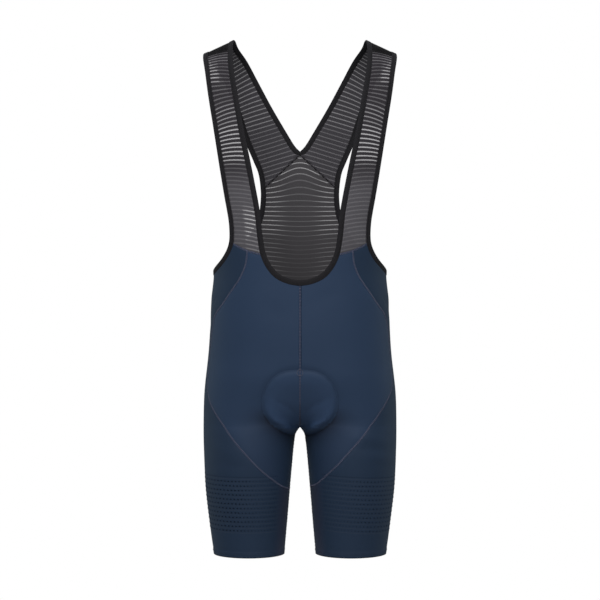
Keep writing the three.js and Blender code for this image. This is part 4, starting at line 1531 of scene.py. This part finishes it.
@dataclass
class Garment:
    """What every sub-assembly shares: the pattern, the relief and the repeats."""

    pattern: Pattern
    relief: Relief
    stitches: StitchRows
    dots: DotRows

    def ground(self, places: Places, sign: int) -> tuple[Array, Array]:
        """Points on the cloth's outer face at places, and outward normals there."""
        points = FIGURE.skin(places) * (sign, 1, 1)
        normals = FIGURE.slopes(places)[2] * (sign, 1, 1)
        normals[np.abs(points[:, 0]) < SEAM_GAP, 0] = 0
        normals = unit(normals)
        height = self.relief.at(points, places[:, 0] * sign, True, False)
        return points + normals * height[:, None], normals

    def sew(self, name: str, rows: Sequence[tuple[Array, Array, Array, Array]], thick: float,
            thread: Cloths, slot: str) -> None:
        """Makes one piece of rows of stitches.

        Args:
            name: the piece's name.
            rows: points, outward directions, row directions and lengths of each row.
            thick: the thread's thickness in metres.
            thread: the finish.
            slot: the CAD material that it goes with; not used.
        """
        points, up, along, length = (np.concatenate(part) for part in zip(*rows))
        stitches = self.stitches.run(name, points, up, along, length,
                                     {"Length": 0.002, "Width": thick, "Height": thick},
                                     [thread.material])
        dress(stitches, None, slot)


def dress(obj: bpy.types.Object, cloth: Optional[Cloths], slot: str, *replaced: str) -> None:
    """Gives a piece its finish and body, and lets it stand for CAD nodes."""
    if cloth is not None:
        obj.data.materials.append(cloth.material)
    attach(obj, BODY)
    if replaced:
        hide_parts(*replaced)
    triangles = sum(len(p.vertices) - 2 for p in obj.data.polygons)
    log.info("%s: %d triangles", obj.name, triangles)


@dataclass
class NavyPieces:
    """Fronts, seat pieces and sides."""

    garment: Garment
    thickness: float = 1.2
    front_cut: Cut = Cut(0.17, 0.40, 0.045)
    seat_cut: Cut = Cut(0.17, 0.36, 0.040)
    side_cut: Cut = Cut(0.42, 0.50, 0.090)

    def build(self) -> None:
        """Builds all six pieces."""
        relief = self.garment.relief
        for side in self.garment.pattern.sides:
            word, sign = side.side.word, side.side.sign
            plans = (("front", [side.front], Cloths.FRONT, "front_stretch", True, False, self.front_cut),
                     ("seat", [side.seat], Cloths.FRONT, "front_stretch", True, False, self.seat_cut),
                     ("side", [side.hip, side.leg], Cloths.SIDE, "side_stretch", False, True,
                      self.side_cut))
            for kind, nets, cloth, slot, padded, hemmed, cut in plans:
                whole = Cloth(True)
                for places in nets:
                    whole.add(places, sign)
                name = f"{kind}_{word}"
                obj, area = whole.wall(
                    f"cloth_{name}", plain_wall(self.thickness),
                    lambda points, turns, p=padded, h=hemmed: relief.at(points, turns, p, h))
                if padded:
                    points, _, turns, _, _ = whole.weld()
                    # The tone holds painted light over the pad, and painted shade under it and on the
                    # thighs.
                    tone = obj.data.attributes.new("tone", "FLOAT", "POINT")
                    values = np.tile(relief.tone(points, turns), 2)
                    tone.data.foreach_set("value", values.astype(np.float32))
                dress(obj, cloth, slot, name)
                log.info("%s area %.4f", name, area)


@dataclass
class MeshPieces:
    """Front straps, back straps and the back."""

    garment: Garment
    thickness: float = 1.0
    strap_cut: Cut = Cut(0.06, 0.36, 0.017)
    back_strap_cut: Cut = Cut(0.08, 0.22, 0.012)
    back_cut: Cut = Cut(0.28, 0.26, 0.045)

    def height(self, points: Array, turns: Array) -> Array:
        """Height of the mesh over the skin."""
        return self.garment.relief.at(points, turns, False, False)

    @staticmethod
    def flat(places: Places) -> Array:
        """Places on the flat cloth: across from the middle and along, in millimetres."""
        points = FIGURE.skin(places)
        middle = points[:, points.shape[1] // 2]
        along = lengths(middle)[:, None] + np.zeros(points.shape[1])
        step = np.linalg.norm(np.diff(points, axis=1), axis=-1)
        across = np.concatenate([np.zeros((len(points), 1)), np.cumsum(step, axis=1)], axis=1)
        across -= across[:, -1:] / 2
        return np.stack([across, along], -1)

    def build(self) -> None:
        """Builds all five pieces."""
        pattern = self.garment.pattern
        for side in Side:
            front = Cloths.STRAP_RIGHT if side is Side.RIGHT else Cloths.STRAP_LEFT
            plans = (("front_strap", pattern.strap_front_net(), front, self.strap_cut),
                     ("back_strap", pattern.strap_back_net(), Cloths.BACK_STRAP, self.back_strap_cut))
            for kind, places, cloth, cut in plans:
                name = f"{kind}_{side.word}"
                flat = self.flat(places)
                if kind == "back_strap":
                    share = 0.1 + 0.6 * smooth(flat[..., 1], 30, 190)
                else:
                    share = (1.25 * smooth(flat[..., 1], 190, 105)
                             + 0.6 * smooth(flat[..., 1], 270, 340))
                level = -FIGURE.skin(places)[..., 2]
                flat[..., 1] += share * (level - level.mean(axis=1, keepdims=True))
                whole = Cloth().add(places, side.sign, flat)
                obj, area = whole.wall(f"cloth_{name}", plain_wall(self.thickness), self.height)
                dress(obj, cloth, "mesh", name)
                log.info("%s area %.4f", name, area)
        places = pattern.back_net()
        points = FIGURE.skin(places)
        arch = 25 * smooth(points[..., 2], -285, -185) - 6 * smooth(points[..., 2], -270, -340)
        stripe = -points[..., 2] + arch * np.exp(-((points[..., 0] / 44) ** 2))
        flat = np.stack([points[..., 0], stripe], -1)
        whole = Cloth().add(places, 1, flat).add(places, -1, flat * (-1, 1))
        obj, area = whole.wall("cloth_back_panel", plain_wall(self.thickness), self.height)
        dress(obj, Cloths.BACK, "mesh", "back_panel")
        log.info("back_panel area %.4f", area)


@dataclass
class Bindings:
    """Fold-over bindings round the armholes and the neck, with a row of stitches on each face."""

    garment: Garment
    proud: float = 0.6
    ripple: float = 0.13
    ripple_pitch: float = 5.2
    stitch_share: float = 0.8
    stitch_pitch: float = 3.2
    armhole_cut: Cut = Cut(0.018, 0.74, 0.0133)
    neck_cut: Cut = Cut(0.018, 1.12, 0.0201)
    # Half the thickness at shares of the width, from the fold at the edge to the seam
    profile: tuple[tuple[float, float], ...] = (
        (0.0, 0.25), (0.05, 0.78), (0.16, 1.18), (0.4, 1.1), (0.66, 1.06), (0.8, 0.72), (0.9, 1.0),
        (0.99, 0.85), (1.06, 0.6))

    def lines(self, edge: Places, seam: Places, sign: int) -> tuple[Array, Array, Array]:
        """Edge points, seam points and normals at the cloth's middle."""
        outward = FIGURE.slopes(mix(edge, seam, np.full(len(edge), 0.5)))[2] * (sign, 1, 1)
        one, two = (FIGURE.skin(line) * (sign, 1, 1) for line in (edge, seam))
        flat = np.abs(one[:, 0]) < 2
        outward[flat, 0] = 0
        return one, two, unit(outward)

    def ring(self, heap: Heap, edge: Array, seam: Array, normals: Array) -> None:
        """Adds one closed binding."""
        table = np.array(self.profile)
        outer = np.concatenate([table, table[::-1] * (1, -1)])
        wave = 1 + self.ripple * np.sin(2 * math.pi * lengths(edge) / self.ripple_pitch)
        slow = 1 + 0.08 * np.sin(lengths(edge) / 23.0)
        profile = np.broadcast_to(outer, (len(edge), *outer.shape)).copy()
        swell = (wave * slow)[:, None]
        away = np.abs(profile[..., 1]) > 0.3
        profile[..., 1] = np.where(away, profile[..., 1] * (0.75 + 0.25 * swell) * 1.12,
                                   profile[..., 1])
        middle = edge - normals * 0.5
        heap.add(*sweep(middle, seam - edge, normals, profile, True))

    def stitch(self, name: str, edge: Array, seam: Array, normals: Array) -> bpy.types.Object:
        """Adds the stitches on both faces."""
        line = edge + (seam - edge) * self.stitch_share - normals * 0.5
        way = lengths(line)
        at = np.arange(self.stitch_pitch / 2, way[-1], self.stitch_pitch)

        def along(values: Array) -> Array:
            return np.stack([np.interp(at, way, values[:, k]) for k in range(3)], -1)

        points, up = along(line), unit(along(normals))
        run = along(np.gradient(line, axis=0))
        both = np.concatenate([points + up * 0.98, points - up * 0.98])
        return self.garment.stitches.run(
            name, both, np.concatenate([up, -up]), np.concatenate([run, run]),
            np.ones(len(both)), {"Length": 0.0026, "Width": 0.0007, "Height": 0.0007},
            [Cloths.DARK_THREAD.material])

    def build(self) -> None:
        """Builds the three bindings."""
        pattern = self.garment.pattern
        for side in Side:
            edge, seam, normals = self.lines(pattern.armhole_edge, pattern.armhole_seam, side.sign)
            self.piece(f"armhole_binding_{side.word}", edge[:-1], seam[:-1], normals[:-1])
        edge_half = np.vstack([pattern.neck_front_edge[::-1], pattern.neck_back_edge[1:]])
        seam_half = np.vstack([pattern.neck_front_seam[::-1], pattern.neck_back_seam[1:]])
        right, left = (self.lines(edge_half, seam_half, sign) for sign in (1, -1))
        edge, seam, normals = (np.vstack([r, l[::-1][1:-1]]) for r, l in zip(right, left))
        self.piece("neck_binding", edge, seam, normals)

    def piece(self, name: str, edge: Array, seam: Array, normals: Array) -> None:
        heap = Heap()
        self.ring(heap, edge, seam, normals)
        obj = heap.object(f"cloth_{name}")
        dress(obj, Cloths.BINDING, "binding", name)
        stitches = self.stitch(f"stitches_{name}", edge, seam, normals)
        dress(stitches, None, "binding")


@dataclass
class SeatPad:
    """The moulded insert under the crotch, with sewn channels on its inner face."""

    garment: Garment
    clearance: float = 4.2
    edge: float = 3.0
    middle: float = 11.0
    voxel: float = 2.8
    pressure: float = 4.0
    frames: int = 20
    cap: float = 1.5
    full_at: float = 45.0
    channel_depth: float = 2.6
    channel_reach: float = 2.8
    channel_levels: tuple[float, float] = (-600.0, -630.0)

    def outlines(self) -> tuple[Places, Places]:
        """The pad's front and back edges, from the top and from the lowest place."""
        low = np.array([[0.0, float(FIGURE.drop(PAD_LOWEST))]])
        front = Line(np.vstack([FIGURE.places(PAD_FRONT, False), low]))
        back = Line(np.vstack([turned(low, 1), FIGURE.places(PAD_BACK, True)]))
        return front.cut(0, len(PAD_FRONT["x"]), STEPS.pad), back.cut(0, len(PAD_BACK["x"]), STEPS.pad)

    def build(self) -> None:
        """Builds the pad."""
        pattern = self.garment.pattern
        front_edge, back_edge = self.outlines()
        top = np.array([0.0, float(FIGURE.drop(PAD_TOP))])
        end = np.array([2.0, float(FIGURE.drop(PAD_END))])
        front = net(straight(top, pattern.crotch, STEPS.pad), front_edge, STEPS.pad_wide)
        back = net(straight(pattern.crotch_back, end, STEPS.pad), back_edge, STEPS.pad_wide)
        whole = Cloth()
        for sign in (1, -1):
            whole.add(front, sign).add(back, sign)
        obj, _ = whole.wall("pad_cushion", self.thickness, self.height)
        self.puff(obj)
        self.press_channels(obj, whole)
        dress(obj, Cloths.PAD, "pad", "seat_pad")

    def height(self, points: Array, turns: Array) -> Array:
        """Height of the pad's outer face over the skin, a little under the cloth."""
        return self.garment.relief.at(points, turns, True, False) - self.clearance

    def thickness(self, points: Array) -> Array:
        """The pad's thickness, least at its edge."""
        distance, _ = self.garment.relief.reach("pad", points)
        return self.edge + (self.middle - self.edge) * np.sqrt(np.clip(distance / self.full_at, 0, 1))

    def puff(self, obj: bpy.types.Object) -> None:
        """Swells the pad by a short cloth simulation, its motion capped, and divides it once."""
        voxels = obj.modifiers.new("voxels", "REMESH")
        voxels.mode = "VOXEL"
        voxels.voxel_size = self.voxel * MM
        applied(obj)
        before = points_of(obj.data)
        cloth = obj.modifiers.new("swell", "CLOTH")
        cloth.settings.use_pressure = True
        cloth.settings.uniform_pressure_force = self.pressure
        cloth.settings.effector_weights.gravity = 0.0
        scene = bpy.context.scene
        for number in range(1, self.frames + 1):
            scene.frame_set(number)
        applied(obj)
        scene.frame_set(1)
        moved = points_of(obj.data) - before
        far = np.linalg.norm(moved, axis=1, keepdims=True)
        log.info("pad simulated, moved up to %.1f mm before the cap", far.max())
        set_points(obj.data, before + moved * np.minimum(1, self.cap / np.maximum(far, 1e-6)))
        obj.modifiers.new("finer", "SUBSURF").levels = 1
        obj.modifiers["finer"].render_levels = 1
        applied(obj)
        obj.data.shade_smooth()

    def press_channels(self, obj: bpy.types.Object, whole: Cloth) -> None:
        """Presses the sewn channels into the inner face."""
        skin, outward, _, _, _ = whole.weld()
        tree = KDTree(len(skin))
        for i, point in enumerate(skin):
            tree.insert(point, i)
        tree.balance()
        points = points_of(obj.data)
        normals = np.empty(len(points) * 3, np.float32)
        obj.data.vertices.foreach_get("normal", normals)
        normals = normals.reshape(-1, 3)
        facing = np.sum(normals * outward[[tree.find(point)[1] for point in points]], -1)
        distance, _ = self.garment.relief.reach("pad", points)
        strength = (facing < -0.3) * smooth(distance, 8, 18) * self.channel_depth
        x, y, z = np.abs(points.T)
        channels = [x, np.abs(x - 24 - 0.1 * y)]
        channels += [np.abs(z + level - 0.15 * x) for level in self.channel_levels]
        for way in channels:
            dent = strength * np.exp(-((way / self.channel_reach) ** 2))
            points = points - normals * dent[:, None]
        set_points(obj.data, points)


@dataclass(frozen=True)
class Run:
    """One seam's line: its places, side, width and stitch pitch."""

    places: Places
    sign: int
    width: float = 3.0
    pitch: float = 2.6


@dataclass
class Seams:
    """Flatlock seams: a low tape with two rows of stitches and threads that cross between."""

    garment: Garment
    height: float = 0.5

    def profile(self, width: float) -> Array:
        """The tape's section, across and outward."""
        half = width / 2
        return np.array([(-half, -0.35), (half, -0.35), (0.94 * half, 0.12), (0.6 * half, 0.38),
                         (0, self.height), (-0.6 * half, 0.38), (-0.94 * half, 0.12)])

    def runs(self) -> dict[str, list[Run]]:
        """The seams' runs by piece."""
        pattern = self.garment.pattern
        found = {"centre": [Run(line, 1, 2.6, 5.2) for line in (pattern.centre_front,
                                                              pattern.centre_back)],
                 "mesh": []}
        for side in pattern.sides:
            sign = side.side.sign
            strap_seam = pattern.strap_seam.cut(0, 2, 40)
            found[f"navy_{side.side.word}"] = [
                Run(line, sign) for line in (side.front_seam, side.seat_seam, pattern.inseam,
                                             strap_seam)]
            found["mesh"] += [Run(pattern.waist, sign), Run(pattern.crest, sign),
                              Run(pattern.yoke, sign, 4.4)]
        return found

    def build(self) -> None:
        """Builds tapes and stitches, piece by piece."""
        for name, runs in self.runs().items():
            light = name != "mesh"
            heap = Heap()
            for run in runs:
                points, normals = self.garment.ground(even(run.places, 2.4), run.sign)
                across = unit(np.cross(unit(np.gradient(points, axis=0)), normals))
                heap.add(*sweep(points, across, normals, self.profile(run.width), False))
            slot = "front_stretch" if light else "mesh"
            tape = heap.object(f"seam_tape_{name}")
            dress(tape, Cloths.TAPE if light else Cloths.MESH_TAPE, slot)
            self.garment.sew(f"seam_stitches_{name}", [self.stitched(run) for run in runs],
                             0.00065, Cloths.THREAD if light else Cloths.DARK_THREAD, slot)
        self.garment.sew("yoke_stitches", [self.inner_row(sign) for sign in (1, -1)], 0.0015,
                         Cloths.DARK_THREAD, "mesh")
        self.centre_edge()

    def inner_row(self, sign: int) -> tuple[Array, Array, Array, Array]:
        """The long stitches on the inner face of one half of the yoke seam."""
        points, normals = self.garment.ground(even(self.garment.pattern.yoke, 9.4), sign)
        way = unit(np.gradient(points, axis=0))
        return points - normals * 1.25, -normals, way, np.full(len(points), 4.0)

    def stitched(self, run: Run) -> tuple[Array, Array, Array, Array]:
        """Points, outward and row directions and lengths of one run's stitches."""
        points, normals = self.garment.ground(even(run.places, run.pitch), run.sign)
        way = unit(np.gradient(points, axis=0))
        across = unit(np.cross(way, normals))
        row = 0.36 * run.width
        edge = normals * (self.height * 0.72)
        crossing = way * run.pitch * 0.5 + across * row * 2
        reach = np.linalg.norm(crossing, axis=1) / 2.0
        ones = np.full(len(points), run.pitch * 0.64 / 2.0)
        return (np.concatenate([points + across * row + edge, points - across * row + edge,
                                points + normals * self.height]),
                np.concatenate([normals] * 3), np.concatenate([way, way, crossing]),
                np.concatenate([ones, ones, reach]))

    def centre_edge(self) -> None:
        """Builds a dark strip beside the centre front seam, a painted shadow along its right side."""
        points, normals = self.garment.ground(even(self.garment.pattern.centre_front, 2.4), 1)
        above = points[:, 2] > PAD_TOP
        points, normals = points[above], normals[above]
        across = unit(np.cross(unit(np.gradient(points, axis=0)), normals))
        across *= np.sign(across[:, :1])
        heap = Heap()
        heap.add(*sweep(points + across * 2.0, across, normals, self.profile(1.1) * (1, 0.6), False))
        dress(heap.object("centre_seam_edge"), Cloths.DOT, "front_stretch")


@dataclass
class PadOutline:
    """The stitched outline of the pad on the outside, and the ring above it."""

    garment: Garment
    tack_level: float = -563.0
    tack_radius: float = 5.0

    def build(self, pad: SeatPad) -> None:
        """Builds the outline's rows of stitches."""
        front_edge, back_edge = pad.outlines()
        rows = []
        top = np.array([0.0, float(FIGURE.drop(PAD_TOP))])
        end = np.array([2.0, float(FIGURE.drop(PAD_END))])
        for sign in (1, -1):
            for outline, first, last in ((front_edge, top, None), (back_edge, None, end)):
                line = outline if first is None else np.vstack([first[None], outline])
                line = line if last is None else np.vstack([line, last[None]])
                points, normals = self.garment.ground(even(line, 2.4), sign)
                run = unit(np.gradient(points, axis=0))
                across = unit(np.cross(run, normals))
                for row in (-1.5, 1.5):
                    rows.append((points + across * row + normals * 0.12, normals, run,
                                 np.ones(len(points))))
        self.garment.sew("pad_outline_stitches", rows, 0.0006, Cloths.DOT, "front_stretch")
        self.garment.sew("tack_ring", self.tack(), 0.0009, Cloths.THREAD, "front_stretch")

    def tack(self) -> list[tuple[Array, Array, Array, Array]]:
        """The small stitched ring at the top of the pad."""
        rows = []
        for sign in (1, -1):
            turn = np.linspace(-math.pi / 2, math.pi / 2, 9)[:-1] + math.pi / 16
            x = self.tack_radius * np.cos(turn)
            z = self.tack_level + self.tack_radius * np.sin(turn)
            points, normals = self.garment.ground(FIGURE.place(x, z, False), sign)
            run = np.stack([-np.sin(turn) * sign, 0 * turn, np.cos(turn)], -1)
            for lift in (0.35, 0.7):
                rows.append((points + normals * lift, normals, unit(run), np.full(len(x), 1.1)))
        return rows


@dataclass
class Hems:
    """Hem stitches and the woven dots above them, on both legs."""

    garment: Garment
    hem_row: float = -872.0
    first_turn: float = 0.26
    last_turn: float = 1.86

    def ring(self, level: float, sign: int, pitch: float, shift: float = 0.0,
             turns: tuple[float, float] = (0.0, 2.0), slant: float = 0.0, wider: float = 0.0
             ) -> tuple[Array, Array, Array]:
        """Points, outward and row directions at steps round a leg.

        Args:
            level: the row's height.
            sign: +1 on the right leg, -1 on the left.
            pitch: the step.
            shift: where the first point is, in steps.
            turns: where the row starts and ends.
            slant: how far it rises in front and falls behind.
            wider: how much wider the steps are at the side.
        """
        t = np.linspace(*turns, 400)
        line = np.stack([t, float(FIGURE.drop(np.array(level))) - slant * np.cos(math.pi * t)], -1)
        step = pitch * (1 + wider * smooth(1 - np.abs(t - 1), 0.45, 0.95))
        way = np.diff(lengths(FIGURE.skin(line))) * 2 / (step[1:] + step[:-1])
        count = np.concatenate([[0], np.cumsum(way)])
        at = np.arange(shift, count[-1])
        places = np.stack([np.interp(at, count, line[:, k]) for k in range(2)], -1)
        points = FIGURE.skin(places) * (sign, 1, 1)
        normals = FIGURE.slopes(places)[2] * (sign, 1, 1)
        height = self.garment.relief.at(points, places[:, 0] * sign, False, True)
        points = points + normals * height[:, None]
        return points, normals, unit(np.gradient(points, axis=0))

    def build(self) -> None:
        """Builds the stitches and dots of both legs."""
        for side in Side:
            rows = [self.ring(level, side.sign, 3.0) for level in (self.hem_row, self.hem_row - 3.2)]
            slant = BAND.right_slant if side is Side.RIGHT else 0.0
            turns = (self.first_turn, self.last_turn)
            dash = self.ring(BAND.top_level + BAND.dash_above, side.sign, 4.0, 0.0, turns, slant)
            points, up, along = (np.concatenate(part) for part in zip(*rows))
            stitches = self.garment.stitches.run(
                f"hem_stitches_{side.word}", points + up * 0.15, up, along, np.ones(len(points)),
                {"Length": 0.0023, "Width": 0.0006, "Height": 0.0006}, [Cloths.TAPE.material])
            dress(stitches, None, "side_stretch")
            points, up, along = dash
            dashes = self.garment.stitches.run(
                f"dash_row_{side.word}", points + up * 0.1, up, along, np.ones(len(points)),
                {"Length": 0.0026, "Width": 0.0009, "Height": 0.0005}, [Cloths.DOT.material])
            dress(dashes, None, "side_stretch")
            dots = [self.ring(BAND.top_level - k * BAND.row_pitch, side.sign, BAND.column_pitch,
                              0.5 * (k % 2), turns, slant, BAND.wider)
                    for k in range(BAND.rows)]
            points, up, along = (np.concatenate(part) for part in zip(*dots))
            inward = np.abs(points[:, 0]) - FIGURE.inner(points[:, 2])
            grown = (0.5 + 0.45 * smooth(inward, 48, 100)) * (0.75 if side is Side.RIGHT else 1.0)
            made = self.garment.dots.run(
                f"woven_dots_{side.word}", points + up * 0.05, up, along, grown,
                {"Radius": BAND.dot_radius * MM, "Thread": 0.00035},
                [Cloths.SIDE.material, Cloths.DOT.material])
            dress(made, None, "side_stretch")


@dataclass
class Seamwork:
    """Tells the relief where the seams and the pad's outline lie."""

    garment: Garment
    pad: SeatPad

    def remember(self) -> None:
        """Keeps the seam lines and the pad's outline in the relief."""
        pattern, relief = self.garment.pattern, self.garment.relief
        lines = [(pattern.centre_front, 1), (pattern.centre_back, 1)]
        for side in pattern.sides:
            sign = side.side.sign
            lines += [(line, sign) for line in (
                side.front_seam, side.seat_seam, pattern.inseam, pattern.waist,
                pattern.strap_seam.cut(0, 2, 40), pattern.yoke)]
        points = [FIGURE.skin(even(places, SEAM_SPACING)) * (sign, 1, 1) for places, sign in lines]
        relief.remember("seams", np.vstack(points))
        front, back = self.pad.outlines()
        top = np.array([[0.0, float(FIGURE.drop(PAD_TOP))]])
        end = np.array([[2.0, float(FIGURE.drop(PAD_END))]])
        front, back = np.vstack([top, front]), np.vstack([back, end])
        rings = [FIGURE.skin(even(line, 1.5)) * (sign, 1, 1)
                 for line in (front, back) for sign in (1, -1)]
        relief.remember("pad", np.vstack(rings))
        relief.seams["pad_front"] = np.vstack([front, [[-0.001, front[-1, 1]], [-0.001, top[0, 1]]]])
        relief.seams["pad_back"] = np.vstack([back, [[2.001, end[0, 1]], [2.001, back[0, 1]]]])


# The studio


@dataclass
class Studio:
    """Floor, light and camera."""

    floor_z: float = -1.02
    camera: tuple[float, float, float] = (0.0, -3.0, -0.4401)
    view_width: float = 1.05
    ambient: float = 0.22

    def lamp(self, name: str, place: Sequence[float], size: tuple[float, float], watts: float,
             color: tuple[float, float, float] = (1, 1, 1)) -> None:
        """Adds one soft light aimed at the garment."""
        light = bpy.data.lights.new(name, "AREA")
        light.shape = "RECTANGLE"
        light.size, light.size_y = size
        light.energy = watts
        light.color = color
        obj = bpy.data.objects.new(name, light)
        bpy.context.scene.collection.objects.link(obj)
        obj.location = place
        aim = Vector((0, 0, -0.45)) - Vector(place)
        obj.rotation_euler = aim.to_track_quat("-Z", "Y").to_euler()

    def build(self) -> None:
        """Sets up the floor, the world, the lights and the camera."""
        scene = bpy.context.scene
        scene.view_settings.view_transform = "Standard"
        self.floor()
        self.world()
        self.lamp("key", (-0.5, -1.9, 1.4), (1.3, 1.3), 33)
        self.lamp("fill", (0.6, -2.0, 0.8), (1.2, 1.3), 13)
        self.lamp("rim_left", (-1.7, 0.7, -0.2), (0.3, 2.0), 3.2, (0.75, 0.93, 1.0))
        self.lamp("rim_right", (1.7, 0.7, -0.2), (0.3, 2.0), 3.2, (0.75, 0.93, 1.0))
        self.lamp("back", (0, 2.6, 1.2), (1.6, 1.6), 9)
        camera = bpy.data.cameras.new("camera")
        camera.sensor_width = 36.0
        camera.lens = camera.sensor_width * abs(self.camera[1]) / self.view_width
        obj = bpy.data.objects.new("camera", camera)
        scene.collection.objects.link(obj)
        obj.location = self.camera
        obj.rotation_euler = (math.pi / 2, 0, 0)
        scene.camera = obj

    def floor(self) -> None:
        """A plain pale floor, white to the camera."""
        half = 12.0
        ends = [(-half, -half, self.floor_z), (half, -half, self.floor_z),
                (half, half, self.floor_z), (-half, half, self.floor_z)]
        mesh = bpy.data.meshes.new("floor")
        mesh.from_pydata(ends, [], [(0, 1, 2, 3)])
        obj = bpy.data.objects.new("floor", mesh)
        bpy.context.scene.collection.objects.link(obj)
        material = bpy.data.materials.new("floor_white")
        material.use_nodes = True
        tree = material.node_tree
        tree.nodes.clear()
        diffuse = node(tree, "ShaderNodeBsdfDiffuse", {"Color": (0.4, 0.4, 0.4, 1)})
        white = node(tree, "ShaderNodeEmission", {"Color": (1, 1, 1, 1), "Strength": 1.0})
        seen = node(tree, "ShaderNodeLightPath").outputs["Is Camera Ray"]
        both = node(tree, "ShaderNodeMixShader",
                    {0: seen, 1: diffuse.outputs[0], 2: white.outputs[0]})
        out = node(tree, "ShaderNodeOutputMaterial")
        tree.links.new(both.outputs[0], out.inputs["Surface"])
        mesh.materials.append(material)

    def world(self) -> None:
        """Soft light all round, white behind the garment."""
        world = bpy.data.worlds.new("studio")
        world.use_nodes = True
        tree = world.node_tree
        ground = tree.nodes["Background"]
        seen = node(tree, "ShaderNodeLightPath").outputs["Is Camera Ray"]
        tree.links.new(math_node(tree, "MULTIPLY_ADD", seen, 1 - self.ambient, self.ambient),
                       ground.inputs["Strength"])
        ground.inputs["Color"].default_value = (1, 1, 1, 1)
        bpy.context.scene.world = world


def main() -> None:
    """Builds the garment piece by piece, then the studio."""
    logging.basicConfig(level=logging.INFO, format="%(name)s %(message)s")
    for name in ("Cube", "Light", "Camera"):
        if name in bpy.data.objects:
            bpy.data.objects.remove(bpy.data.objects[name])
    effects = Effects()
    for cloth in Cloths:
        cloth.value.build(effects)
    pattern = Pattern()
    relief = Relief()
    garment = Garment(pattern, relief, StitchRows(), DotRows())
    pad = SeatPad(garment)
    Seamwork(garment, pad).remember()
    NavyPieces(garment).build()
    MeshPieces(garment).build()
    Bindings(garment).build()
    pad.build()
    Seams(garment).build()
    PadOutline(garment).build(pad)
    Hems(garment).build()
    Studio().build()


if __name__ == "__main__":
    main()
